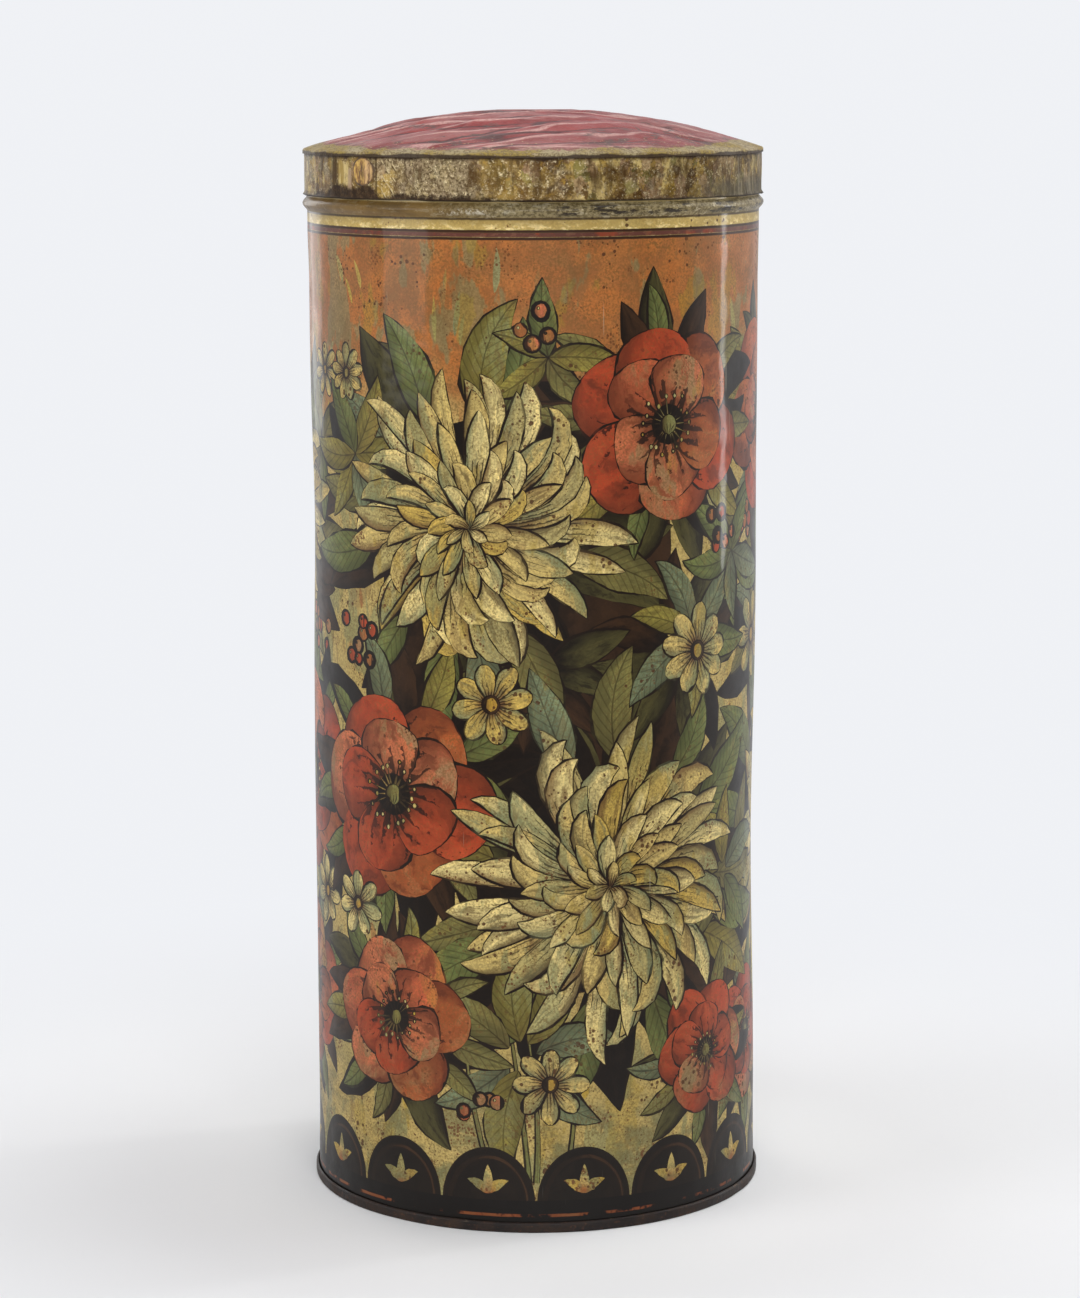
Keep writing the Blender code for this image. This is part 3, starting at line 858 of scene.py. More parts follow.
solder_low, solder_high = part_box("seam_solder")
bottom, top = solder_low.z / MM, solder_high.z / MM
solder_points, solder_faces = [], []
for row in range(SOLDER_ROWS + 1):
    z = bottom + (top - bottom) * row / SOLDER_ROWS
    drift = 0.5 * math.sin(z / 11) + 0.3 * math.sin(z / 4.7 + 2)
    half_wide = SOLDER_WIDE / 2 - 0.7 + 0.4 * math.sin(z / 7.3 + 1) + 0.25 * math.sin(z / 2.9)
    for step in range(SOLDER_SIDE_STEPS + 1):
        across = 1 - 2 * step / SOLDER_SIDE_STEPS
        lump = 0.75 + 0.25 * math.sin(z / 5.1 + 2 * across) * math.sin(z / 1.9)
        depth = SOLDER_DEEP * lump * math.sqrt(max(0, 1 - across**2))
        bearing = math.pi + (across * half_wide + drift) / WALL_RADIUS
        radius = WALL_RADIUS - 2 * SHEET - depth
        solder_points.append((radius * math.sin(bearing) * MM, -radius * math.cos(bearing) * MM, z * MM))
across_count = SOLDER_SIDE_STEPS + 1
for row in range(SOLDER_ROWS):
    for step in range(SOLDER_SIDE_STEPS):
        corner = row * across_count + step
        solder_faces.append((corner, corner + 1, corner + across_count + 1, corner + across_count))
    edge = row * across_count
    back = edge + SOLDER_SIDE_STEPS
    solder_faces.append((edge, edge + across_count, back + across_count, back))
last = SOLDER_ROWS * across_count
solder_faces.append(tuple(range(across_count))[::-1])
solder_faces.append(tuple(range(last, last + across_count)))


def solder_finish():
    """Dull lead-tin solder with patches of brown flux."""
    solder = Finish("dull solder")
    cloud = solder.grain(6, 4, 0.6)
    colour = solder.mix(cloud, (0.22, 0.21, 0.19), (0.42, 0.41, 0.38))
    flux = solder.fade(solder.grain(9, 3, 0.6, shift=5), 0.5, 0.65)
    colour = solder.mix(solder.sum("MULTIPLY", flux, 0.7), colour, (0.12, 0.07, 0.03))
    solder.set(solder.shader.inputs["Base Color"], colour)
    solder.set(solder.shader.inputs["Roughness"], solder.fade(cloud, 0.3, 0.7, 0.35, 0.6))
    solder.shader.inputs["Metallic"].default_value = 0.9
    solder.set(solder.shader.inputs["Normal"], solder.bump(solder.grain(1.2, 3), 0.0002, 0.5))
    return solder.material


seam_solder = new_piece("seam_solder_run", np.array(solder_points), solder_faces, [solder_finish()])
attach(seam_solder, "can")
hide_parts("seam_solder")

# The base
# A disc of tinplate pressed up inside the wall, its edge turned down, out and up again, and
# rolled tight against the wall. It is lacquered dark brown and grimed where it has stood.
BASE_TURNS = 240
PANEL_RISE = 3.5
FOOT_BEND = 0.4
SEAM_HIGH = 3.0
SEAM_PROUD = 1.0
# Small nicks in the rolled seam: bearing in degrees, depth, and half width in degrees.
NICKS = ((-38, 0.10, 3), (-9, 0.14, 4), (21, 0.10, 2.5), (63, 0.16, 3.5), (117, 0.12, 4), (-128, 0.15, 5))

half = SHEET / 2
inner_leg = WALL_RADIUS - 2 * SHEET - half
outer_leg = WALL_RADIUS + SEAM_PROUD - half
roll = outer_leg - WALL_RADIUS - SHEET
base_profile = [(radius, PANEL_RISE) for radius in (0, 6, 14, 24, 34, 43, 49.5, 50.5, 51.5, 56, 60)]
base_profile += ring_arc(inner_leg - FOOT_BEND, PANEL_RISE - FOOT_BEND, FOOT_BEND, 90, 0, 5)
base_profile += ring_arc(inner_leg + FOOT_BEND, half + FOOT_BEND, FOOT_BEND, 180, 270, 5)
base_profile += ring_arc(outer_leg - FOOT_BEND, half + FOOT_BEND, FOOT_BEND, 270, 360, 6)
base_profile += ring_arc(outer_leg - roll, SEAM_HIGH - half - roll, roll, 0, 90, 6)
around_base = np.linspace(-half_sheet, half_sheet, BASE_TURNS + 1)
base_points, base_faces = turned(base_profile, around_base)
base_points /= MM
bearing = np.arctan2(base_points[:, 0], -base_points[:, 1])
reach = np.hypot(base_points[:, 0], base_points[:, 1])
outer = np.clip((reach - WALL_RADIUS) / 0.4, 0, 1)
squeeze = 0.035 * (1 + np.sin(9 * bearing + 1)) + 0.02 * (1 + np.sin(31 * bearing) * np.sin(5 * bearing))
for nick_bearing, depth, half_angle in NICKS:
    squeeze += depth * np.exp(-(((np.degrees(bearing) - nick_bearing) / half_angle) ** 2))
squeeze *= outer
sag = 0.1 * np.sin(4 * bearing + 1) * np.clip(reach / 20, 0, 1) + 0.12 * np.cos(reach / 9)
base_points[:, 2] += sag * np.clip((60 - reach) / 12, 0, 1)
base_points[:, 2] -= 1.2 * squeeze * np.clip((base_points[:, 2] - 1.5) / 1.5, 0, 1) * outer
shrink = (reach - squeeze) / np.maximum(reach, 1e-6)
base_points[:, :2] *= shrink[:, None]
base_points, base_faces, _ = weld([(base_points * MM, base_faces)])


def darkened_finish():
    """Dark brown lacquer, rubbed to brown iron on its edges."""
    dark = Finish("darkened tinplate")
    cloud = dark.grain(5, 4, 0.65, stretch=(1.6, 1.6, 1))
    colour = dark.mix(dark.fade(cloud, 0.35, 0.7), (0.010, 0.006, 0.005), (0.032, 0.017, 0.010))
    rust = dark.fade(dark.grain(1.4, 4, 0.7, shift=7), 0.56, 0.66)
    colour = dark.mix(dark.sum("MULTIPLY", rust, 0.6), colour, (0.08, 0.032, 0.015))
    worn = dark.fade(dark.grain(2.2, 4, 0.7, stretch=(3, 3, 1), shift=17), 0.60, 0.68)
    level = dark.sum("DIVIDE", dark.parts(dark.spot)[2], MM)
    rim = dark.fade(level, 2.2, 2.8)
    worn = dark.sum("MULTIPLY", worn, rim)
    colour = dark.mix(dark.sum("MULTIPLY", worn, 0.7), colour, (0.14, 0.105, 0.075))
    dark.set(dark.shader.inputs["Base Color"], colour)
    dark.set(dark.shader.inputs["Metallic"], dark.sum("MULTIPLY", worn, 0.7))
    dark.set(dark.shader.inputs["Roughness"], dark.fade(cloud, 0.3, 0.7, 0.45, 0.7))
    dark.shader.inputs["Specular IOR Level"].default_value = 0.3
    dark.set(dark.shader.inputs["Normal"], dark.bump(dark.grain(1.6, 4, 0.6, shift=3), 0.0003, 0.6))
    return dark.material


base = new_piece("rolled_base", base_points, base_faces, [darkened_finish()])


def made_plain(piece):
    """Turns what the piece's modifiers make into its own mesh, and removes them."""
    depsgraph = bpy.context.evaluated_depsgraph_get()
    mesh = bpy.data.meshes.new_from_object(piece.evaluated_get(depsgraph))
    piece.modifiers.clear()
    piece.data = mesh
    mesh.name = piece.name


def give_thickness(piece, inner_slot=0, side=0):
    """Makes an open skin a sheet of real thickness, as a plain mesh."""
    sheet = piece.modifiers.new("sheet", "SOLIDIFY")
    sheet.thickness = SHEET * MM
    sheet.offset = side
    sheet.use_even_offset = True
    sheet.material_offset = inner_slot
    made_plain(piece)


give_thickness(base)
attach(base, "can")
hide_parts("base_disc")

# The lid's dome
# A disc of tinplate stamped to a low dome, with its rim folded down over the skirt. It is thin
# and has been leant on for a century, so that it is creased all over, like crumpled foil.
DOME_TURNS = 384
DOME_RINGS = 112
RIM_OUT = 64.62
RIM_BEND = 0.5
HEM = 0.85
HEM_DROP = 0.25
DOME_RISE = 10.3
DOME_ROUND = 2.2

dome_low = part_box("lid_dome")[0]
hem_foot = dome_low.z / MM - HEM_DROP
dome_sizes = {
    "Turns": DOME_TURNS,
    "Rings": DOME_RINGS,
    "Radius": RIM_OUT,
    "Crown": hem_foot + HEM + RIM_BEND + DOME_RISE,
    "Lift": 0.65,
    "Rise": DOME_RISE,
    "Roundness": DOME_ROUND,
    "Bend": RIM_BEND,
    "Hem": HEM,
    "Crease size": 15.0,
    "Crease depth": 1.0,
    "Fine crease depth": 0.16,
    "Seed": 4.0,
}

# Sets of creases: the way across them in degrees, and their size and depth as shares of the inputs.
CREASES = ((86, 1.0, 1.0), (104, 0.7, 0.7), (72, 0.45, 0.45), (128, 1.4, 0.35))


class Recipe(Nodes):
    """A tree of Geometry Nodes with named inputs."""

    def __init__(self, name, sizes):
        self.sizes = sizes
        self.tree = bpy.data.node_groups.new(name, "GeometryNodeTree")
        for label, value in sizes.items():
            kind = "NodeSocketInt" if isinstance(value, int) else "NodeSocketFloat"
            self.tree.interface.new_socket(label, in_out="INPUT", socket_type=kind)
        self.tree.interface.new_socket("Geometry", in_out="OUTPUT", socket_type="NodeSocketGeometry")
        self.given = self.tree.nodes.new("NodeGroupInput").outputs
        self.last = self.tree.nodes.new("NodeGroupOutput")

    def point(self, x, y, z=0.0):
        return self.add("ShaderNodeCombineXYZ", {0: x, 1: y, 2: z})

    def finish(self, geometry, material):
        """Ends the tree, and gives the plain mesh that it makes as a new object."""
        real = self.add("GeometryNodeRealizeInstances", {0: geometry})
        smooth = self.add("GeometryNodeSetShadeSmooth", {0: real})
        painted = self.add("GeometryNodeSetMaterial", {0: smooth, 2: material})
        self.set(self.last.inputs[0], painted)
        piece = bpy.data.objects.new(self.tree.name, bpy.data.meshes.new(self.tree.name))
        bpy.context.scene.collection.objects.link(piece)
        made = piece.modifiers.new("made", "NODES")
        made.node_group = self.tree
        for item in self.tree.interface.items_tree:
            if item.in_out == "INPUT":
                made[item.identifier] = self.sizes[item.name]
        made_plain(piece)
        return piece


def dome_recipe():
    """A polar grid bent to a dome with a turned-down rim, and creased like crumpled foil."""
    dome = Recipe("creased_dome", dome_sizes)
    sum_, given = dome.sum, dome.given
    grid = dome.add("GeometryNodeMeshGrid", {0: 1.0, 1: 1.0})
    counts = grid.node.inputs
    dome.set(counts["Vertices X"], sum_("ADD", given["Turns"], 1))
    dome.set(counts["Vertices Y"], sum_("ADD", given["Rings"], 1))
    place = dome.parts(dome.add("GeometryNodeInputPosition", {}))
    angle = sum_("MULTIPLY", sum_("SUBTRACT", 0.5, place[0]), math.tau)
    inward = sum_("POWER", sum_("SUBTRACT", 0.5, place[1]), 1.5)
    bend = given["Bend"]
    bend_long = sum_("MULTIPLY", bend, math.pi / 2)
    flat_reach = sum_("SUBTRACT", given["Radius"], bend)
    whole = sum_("ADD", flat_reach, sum_("ADD", bend_long, given["Hem"]))
    path = sum_("MULTIPLY", whole, sum_("SUBTRACT", 1, inward))
    beyond = sum_("SUBTRACT", path, flat_reach)
    turn = sum_("DIVIDE", sum_("MINIMUM", sum_("MAXIMUM", beyond, 0), bend_long), bend)
    reach = sum_("ADD", sum_("MINIMUM", path, flat_reach), sum_("MULTIPLY", bend, sum_("SINE", turn)))
    down = sum_("MULTIPLY", bend, sum_("SUBTRACT", 1, sum_("COSINE", turn)))
    down = sum_("ADD", down, sum_("MAXIMUM", sum_("SUBTRACT", beyond, bend_long), 0))
    bowl = sum_("POWER", sum_("DIVIDE", sum_("MINIMUM", path, flat_reach), flat_reach), given["Roundness"])
    x = sum_("MULTIPLY", reach, sum_("COSINE", angle))
    y = sum_("MULTIPLY", reach, sum_("SINE", angle))

    # Creases: straight folds with sharp ridges and valleys, made to wander, and deep only in places
    crease, ridge, valley = 0.0, 0.0, 0.0
    for number, (way, size_share, depth_share) in enumerate(CREASES):
        cos, sin = math.cos(math.radians(way)), math.sin(math.radians(way))
        across = sum_("MULTIPLY_ADD", y, sin, sum_("MULTIPLY", x, cos))
        run = sum_("MULTIPLY_ADD", y, cos, sum_("MULTIPLY", x, -sin))
        spot = dome.point(sum_("MULTIPLY", run, 0.42), across, sum_("ADD", given["Seed"], 31 * number))
        wander = dome.add("ShaderNodeTexNoise", {0: spot, 2: 0.03, 3: 3.0, 4: 0.6})
        across = sum_("DIVIDE", across, sum_("MULTIPLY", given["Crease size"], size_share))
        fold = sum_("PINGPONG", sum_("MULTIPLY_ADD", wander, 3.4, across), 0.5)
        place_noise = dome.add("ShaderNodeTexNoise", {0: spot, 2: 0.04, 3: 1.0})
        deep = sum_("MULTIPLY", dome.fade(place_noise, 0.36, 0.58, 0.1, 1), depth_share)
        crease = sum_("MULTIPLY_ADD", sum_("MULTIPLY", fold, 2), deep, crease)
        ridge = sum_("MAXIMUM", ridge, sum_("MULTIPLY", dome.fade(fold, 0.15, 0.0), deep))
        valley = sum_("MAXIMUM", valley, sum_("MULTIPLY", dome.fade(fold, 0.39, 0.5), deep))
    small_scale = sum_("DIVIDE", 3.2, given["Crease size"])
    small = dome.add("ShaderNodeTexVoronoi", {0: dome.point(x, sum_("MULTIPLY", y, 1.6)), 2: small_scale})
    small = sum_("MULTIPLY", sum_("POWER", small, 1.5), given["Fine crease depth"])
    crease = sum_("MULTIPLY_ADD", crease, given["Crease depth"], small)
    crease = sum_("MULTIPLY", crease, dome.fade(path, 48, 64, 1, 0.12))
    height = sum_("SUBTRACT", given["Crown"], sum_("MULTIPLY", bowl, given["Rise"]))
    lift = sum_("MULTIPLY", sum_("SUBTRACT", 1, bowl), given["Lift"])
    height = sum_("MINIMUM", sum_("SUBTRACT", sum_("ADD", height, lift), crease), given["Crown"])
    height = sum_("SUBTRACT", height, down)
    moved = dome.point(x, y, height)
    moved = dome.add("ShaderNodeVectorMath", {0: moved, 3: MM}, operation="SCALE")
    # The finish uses these two shares to paint highlight on the ridges and shade in the valleys.
    for name, value in (("ridge", ridge), ("valley", valley)):
        grid = dome.add("GeometryNodeStoreNamedAttribute", {0: grid, 2: name, 3: value})
    shaped = dome.add("GeometryNodeSetPosition", {0: grid, 2: moved})
    return dome, dome.add("GeometryNodeMergeByDistance", {0: shaped, 2: 0.000004})


def red_finish():
    """Crimson lacquer with dust and a painted sheen, worn through to olive and cream at the rim, with
    painted shade in the creases and on its right side, and painted highlight on the ridges.
    """
    red = Finish("red lacquered tinplate")
    sum_, fade, mix = red.sum, red.fade, red.mix
    ridge, valley = red.stored("ridge", 2), red.stored("valley", 2)
    x, y, z = red.parts(red.spot)
    reach = sum_("DIVIDE", sum_("SQRT", sum_("ADD", sum_("MULTIPLY", x, x), sum_("MULTIPLY", y, y))), MM)
    level = sum_("DIVIDE", z, MM)
    cloud = red.grain(12, 4, 0.6)
    fine = red.grain(1.0, 4, 0.7, shift=9)
    colour = mix(fade(cloud, 0.35, 0.65), (0.29, 0.044, 0.040), (0.18, 0.019, 0.018))
    # Pale pink clouds: dust, and a painted sheen.
    dust_and_sheen = fade(red.grain(16, 4, 0.65, stretch=(2.6, 1, 1), shift=13), 0.45, 0.62, 0, 0.5)
    colour = mix(dust_and_sheen, colour, (0.34, 0.155, 0.142))
    # Paler pink along the ridges: rubbed lacquer, and a painted highlight.
    rubbed = sum_("MULTIPLY", fade(ridge, 0.1, 0.65), fade(fine, 0.34, 0.56, 0.45, 1))
    colour = mix(sum_("MULTIPLY", rubbed, 0.8), colour, (0.60, 0.35, 0.31))
    # Painted shade: the crease valleys are darkened to a deep red.
    colour = mix(fade(valley, 0.08, 0.65, 0, 0.9), colour, (0.055, 0.014, 0.014))
    # Painted shade: thin grey-brown lines for the shade of fine crinkles that the mesh doesn't have.
    crinkle_shade = sum_("ABSOLUTE", sum_("SUBTRACT", red.grain(9, 4, 0.6, stretch=(2.2, 1, 1), shift=43), 0.5))
    crinkle_shade = sum_("MULTIPLY", fade(crinkle_shade, 0.03, 0.012), fade(red.grain(17, 2, 0.5, shift=57), 0.47, 0.54))
    colour = mix(sum_("MULTIPLY", crinkle_shade, 0.8), colour, (0.085, 0.050, 0.042))
    # Painted shade: the right side of the dome is darkened.
    colour = mix(fade(x, 0.0, 0.04, 0, 0.5), colour, mix(1, colour, (0.78, 0.80, 0.80), "MULTIPLY"))

    # The rim: worn down to a mottled cream and olive ring, then dirt and a painted shadow along the lower
    # edge of the hem
    broad = sum_("ADD", fade(x, 0.038, 0.060, 0, 4.5), fade(x, -0.040, -0.060, 0, 3.0))
    ragged = sum_("MULTIPLY_ADD", red.grain(5, 5, 0.7, shift=21), 8.0, sum_("ADD", reach, broad))
    worn = fade(ragged, 65.4, 66.3)
    ring = mix(fade(cloud, 0.42, 0.6), (0.36, 0.29, 0.16), (0.30, 0.215, 0.06))
    ring = mix(fade(fine, 0.45, 0.6), ring, (0.13, 0.088, 0.038))
    colour = mix(worn, colour, ring)
    rusty = sum_("MULTIPLY", fade(ragged, 64.2, 65.4), fade(ragged, 65.4, 66.0, 1, 0))
    colour = mix(sum_("MULTIPLY", rusty, 0.6), colour, (0.12, 0.05, 0.022))
    flakes = fade(sum_("MULTIPLY_ADD", reach, 0.004, fine), 0.84, 0.88)
    colour = mix(flakes, colour, (0.38, 0.29, 0.16))
    # Dirt and a painted shadow on the hem's lower edge.
    wander = sum_("MULTIPLY_ADD", red.grain(8, 3, 0.6, shift=67), 1.8, level)
    hem = fade(wander, hem_foot + 1.3, hem_foot + 1.75, 1, 0)
    colour = mix(sum_("MULTIPLY", hem, 0.92), colour, (0.035, 0.020, 0.012))
    red.set(red.shader.inputs["Base Color"], colour)
    rough = fade(cloud, 0.3, 0.7, 0.34, 0.46)
    red.set(red.shader.inputs["Roughness"], sum_("MULTIPLY_ADD", worn, 0.2, rough))
    red.shader.inputs["Specular IOR Level"].default_value = 0.15
    red.shader.inputs["Coat Weight"].default_value = 0.08
    red.shader.inputs["Coat Roughness"].default_value = 0.2
    bumps = red.bump(red.grain(3.5, 4, 0.6, stretch=(2, 1, 1), shift=31), 0.0011, 0.7)
    red.set(red.shader.inputs["Normal"], red.bump(fine, 0.00006, 0.6, bumps))
    return red.material


recipe, creased = dome_recipe()
dome = recipe.finish(creased, red_finish())

# Long folds pressed into the dome: start and end in millimetres from its middle, depth and width.
# The last one is so wide that it is a shallow dent on the left.
FOLDS = (
    ((-46, -14), (-8, -22), 0.45, 2.2),
    ((-34, -34), (6, -40), 0.40, 2.0),
    ((-12, -8), (38, -14), 0.50, 2.4),
    ((2, -30), (50, -22), 0.42, 2.0),
    ((-20, 18), (44, 8), 0.40, 2.6),
    ((-50, 12), (-14, 34), 0.35, 2.4),
    ((14, -50), (40, -38), 0.35, 1.8),
    ((10, 44), (48, 28), 0.4, 2.2),
    ((-47, -40), (-47, 40), 0.2, 13.0),
)
spots = np.array([tuple(vertex.co) for vertex in dome.data.vertices]) / MM
for (x0, y0), (x1, y1), depth, wide in FOLDS:
    run = np.array([x1 - x0, y1 - y0], float)
    long = np.linalg.norm(run)
    run /= long
    offset = spots[:, :2] - (x0, y0)
    along = offset @ run / long
    across = offset[:, 1] * run[0] - offset[:, 0] * run[1]
    across += 1.6 * np.sin(along * 9 + x0) + 0.8 * np.sin(along * 23 + y0)
    taper = np.clip(np.minimum(along, 1 - along) * 5, 0, 1)
    spots[:, 2] -= depth * taper * np.exp(-np.abs(across) / wide)
dome.data.vertices.foreach_set("co", (spots * MM).ravel())
dome.data.materials.append(bare_tin)
give_thickness(dome, inner_slot=1, side=-1)
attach(dome, "lid")
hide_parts("lid_dome")

# The lid's skirt
# A strip of tinplate bent to a ring that slips over the neck, its ends lapped at the front left,
# and its lower edge flared so that it starts easily. Its gold lacquer is tarnished and stained.
SKIRT_FACE = 64.2
SKIRT_TUCK = 0.7
FLARE = 0.56
FLARE_HIGH = 1.1
LAP_BEARING = -45.0
LAP_EDGE = 5.4
LAP_RAMP = 9.0
SKIRT_TURNS = 360
# Small dings: bearing and half width in degrees, depth, and level above the skirt's foot.
DINGS = ((-20, 3, 0.10, 5), (12, 2.5, 0.12, 4), (33, 3.5, 0.10, 7), (70, 4, 0.12, 4), (150, 5, 0.12, 6))

skirt_low, skirt_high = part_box("lid_skirt")
skirt_foot = skirt_low.z / MM
skirt_top = skirt_high.z / MM - SKIRT_TUCK
skirt_levels = [np.linspace(0, FLARE_HIGH, 9), np.linspace(FLARE_HIGH + 0.4, skirt_top - skirt_foot, 16)]
skirt_levels = np.concatenate(skirt_levels)
lap_step = math.degrees(LOCK_STEP / WALL_RADIUS)
bearings = np.linspace(-180, 180, SKIRT_TURNS + 1).tolist()
bearings = np.array(sorted(bearings + [LAP_BEARING + LAP_EDGE, LAP_BEARING + LAP_EDGE + lap_step]))
skirt_s = np.radians(bearings) * WALL_RADIUS
_, skirt_faces = turned([(SKIRT_FACE, skirt_foot + level) for level in skirt_levels], skirt_s)

# The flare is uneven, and stands out most at the far right and left.
s, up = np.tile(bearings, len(skirt_levels)), np.repeat(skirt_levels, len(bearings))
turn = np.radians(s)
uneven = 0.5 + 0.22 * np.sin(5 * turn + 1.3) + 0.16 * np.sin(13 * turn) + 0.12 * np.sin(29 * turn + 2)
uneven = uneven + 0.5 * np.exp(-(((s - 84) / 4) ** 2))
uneven = np.clip(uneven + 0.3 * np.exp(-(((s + 86) / 5) ** 2)), 0.1, 1)
flare = FLARE * uneven * np.clip(1 - up / FLARE_HIGH, 0, 1) ** 1.8
past = s - LAP_BEARING
lap = np.where(past > LAP_EDGE + lap_step / 2, 0, np.clip((past + LAP_RAMP) / (LAP_RAMP - LAP_EDGE), 0, 1))
under_hem = np.clip((skirt_foot + up - hem_foot + 0.5) / 0.4, 0, 1)
lap = lap * (1 - 0.9 * under_hem)
ripple = 0.035 * np.sin(7 * turn + 0.4 * up) + 0.025 * np.sin(17 * turn - 0.7 * up)
dinged = 0.0
for middle, wide, depth, level in DINGS:
    dinged = dinged + depth * np.exp(-(((s - middle) / wide) ** 2) - ((up - level) / 3.5) ** 2)
radius = SKIRT_FACE + ripple * np.clip(1 - lap, 0, 1) * (1 - under_hem) - dinged + SHEET * lap + flare
level = skirt_foot + up + 0.25 * (1 - uneven) * np.clip(1 - up / FLARE_HIGH, 0, 1)
skirt_points = on_can(turn * WALL_RADIUS, level, radius)
skirt_points, skirt_faces, _ = weld([(skirt_points, skirt_faces)])


def tarnished_finish():
    """Gold lacquer gone olive-brown, with cream flecks, streaks, dark stains along the foot, dirt and a
    painted shadow under the hem, and painted shade towards the right and at the far left edge.
    """
    gold = Finish("tarnished tinplate")
    sum_, fade, mix = gold.sum, gold.fade, gold.mix
    x, y, z = gold.parts(gold.spot)
    level = sum_("SUBTRACT", sum_("DIVIDE", z, MM), skirt_foot)
    patches = gold.grain(9, 4, 0.65, stretch=(1, 1, 1.3))
    streaks = gold.grain(3.2, 4, 0.65, stretch=(1, 1, 6), shift=5)
    clumps = gold.grain(1.9, 5, 0.85, shift=33)
    fine = gold.grain(0.8, 3, 0.7, shift=9)
    colour = mix(fade(patches, 0.38, 0.62), (0.10, 0.052, 0.014), (0.21, 0.135, 0.040))

    # The lacquer has broken up in ragged shards of cream, ochre, olive and brown
    jitter = gold.add("ShaderNodeTexNoise", {0: gold.stretched(shift=19), 2: 1 / 1.6, 3: 4.0, 4: 0.75}, 1)
    shard_place = {0: jitter, 1: (3.4, 3.4, 3.4), 2: gold.stretched((1, 1, 1.5), 27)}
    shard_place = gold.add("ShaderNodeVectorMath", shard_place, operation="MULTIPLY_ADD")
    pick = gold.parts(gold.add("ShaderNodeTexVoronoi", {0: shard_place, 2: 1 / 2.8}, 1))
    shard = mix(fade(pick[0], 0.25, 0.31), (0.115, 0.060, 0.016), (0.25, 0.165, 0.055))
    shard = mix(fade(pick[0], 0.50, 0.56), shard, (0.42, 0.285, 0.070))
    shard = mix(fade(pick[0], 0.76, 0.82), shard, (0.64, 0.49, 0.20))
    shard = mix(fade(pick[1], 0.78, 0.84, 0, 0.75), shard, (0.17, 0.165, 0.055))
    shard = mix(fade(pick[2], 0.72, 0.78, 0, 0.75), shard, (0.33, 0.215, 0.135))
    colour = mix(fade(gold.grain(15, 2, 0.5, shift=87), 0.36, 0.52, 0.25, 0.9), colour, shard)
    grey = sum_("MULTIPLY", fade(x, -0.041, -0.034), fade(x, -0.019, -0.011, 1, 0))
    grey = sum_("MAXIMUM", grey, fade(gold.grain(13, 3, 0.6, shift=63), 0.54, 0.62))
    grey_paint = mix(fade(fine, 0.40, 0.58), (0.27, 0.215, 0.135), (0.105, 0.076, 0.046))
    colour = mix(sum_("MULTIPLY", grey, 0.85), colour, grey_paint)
    murk = fade(gold.grain(4.2, 4, 0.7, shift=101), 0.46, 0.58)
    murk = sum_("MULTIPLY", murk, fade(x, -0.016, -0.006, 0.2, 0.75))
    clean = mix(1, colour, (1.22, 1.20, 1.15), "MULTIPLY")
    murky = mix(1, colour, (0.42, 0.33, 0.24), "MULTIPLY")
    colour = mix(murk, clean, murky)
    flecks = sum_("MULTIPLY", fade(clumps, 0.52, 0.62), fade(patches, 0.40, 0.54))
    colour = mix(sum_("MULTIPLY", flecks, 0.6), colour, (0.48, 0.37, 0.17))
    bright = sum_("MULTIPLY", fade(gold.grain(0.9, 4, 0.8, shift=83), 0.53, 0.61), fade(clumps, 0.45, 0.56))
    colour = mix(sum_("MULTIPLY", bright, 0.85), colour, (0.80, 0.67, 0.41))
    gilt = sum_("MULTIPLY", fade(clumps, 0.46, 0.36), fade(patches, 0.58, 0.44))
    gilt = sum_("MULTIPLY", gilt, sum_("SUBTRACT", 0.75, sum_("MULTIPLY", grey, 0.7)))
    colour = mix(gilt, colour, (0.46, 0.275, 0.045))
    drips = fade(gold.grain(4.5, 3, 0.6, stretch=(1, 1, 4), shift=91), 0.54, 0.68)
    drips = sum_("MULTIPLY", drips, fade(sum_("MULTIPLY_ADD", clumps, 5, level), 3.5, 9, 0.3, 0.85))
    colour = mix(drips, colour, (0.070, 0.033, 0.008))
    colour = mix(fade(streaks, 0.54, 0.66, 0, 0.55), colour, (0.065, 0.034, 0.012))
    colour = mix(fade(fine, 0.52, 0.64, 0, 0.6), colour, (0.075, 0.043, 0.017))
    # Painted shade: the skirt is darkened towards its right side.
    colour = mix(fade(x, -0.012, 0.05, 0, 0.75), colour, mix(1, colour, (0.45, 0.45, 0.42), "MULTIPLY"))
    # Darker at the low right end.
    low_right = sum_("MULTIPLY", fade(x, 0.038, 0.052), fade(level, 6.5, 2.5, 0, 0.75))
    colour = mix(low_right, colour, (0.060, 0.050, 0.030))
    # Painted shade: the far left edge of the skirt is darkened.
    colour = mix(fade(x, -0.044, -0.054, 0, 0.7), colour, mix(1, colour, (0.60, 0.58, 0.56), "MULTIPLY"))
    scored = fade(gold.grain(1.1, 3, 0.6, stretch=(1, 1, 14), shift=95), 0.50, 0.60)
    scored = sum_("MULTIPLY", scored, fade(sum_("ABSOLUTE", x), 0.048, 0.060, 0, 0.3))
    colour = mix(scored, colour, (0.38, 0.33, 0.22))

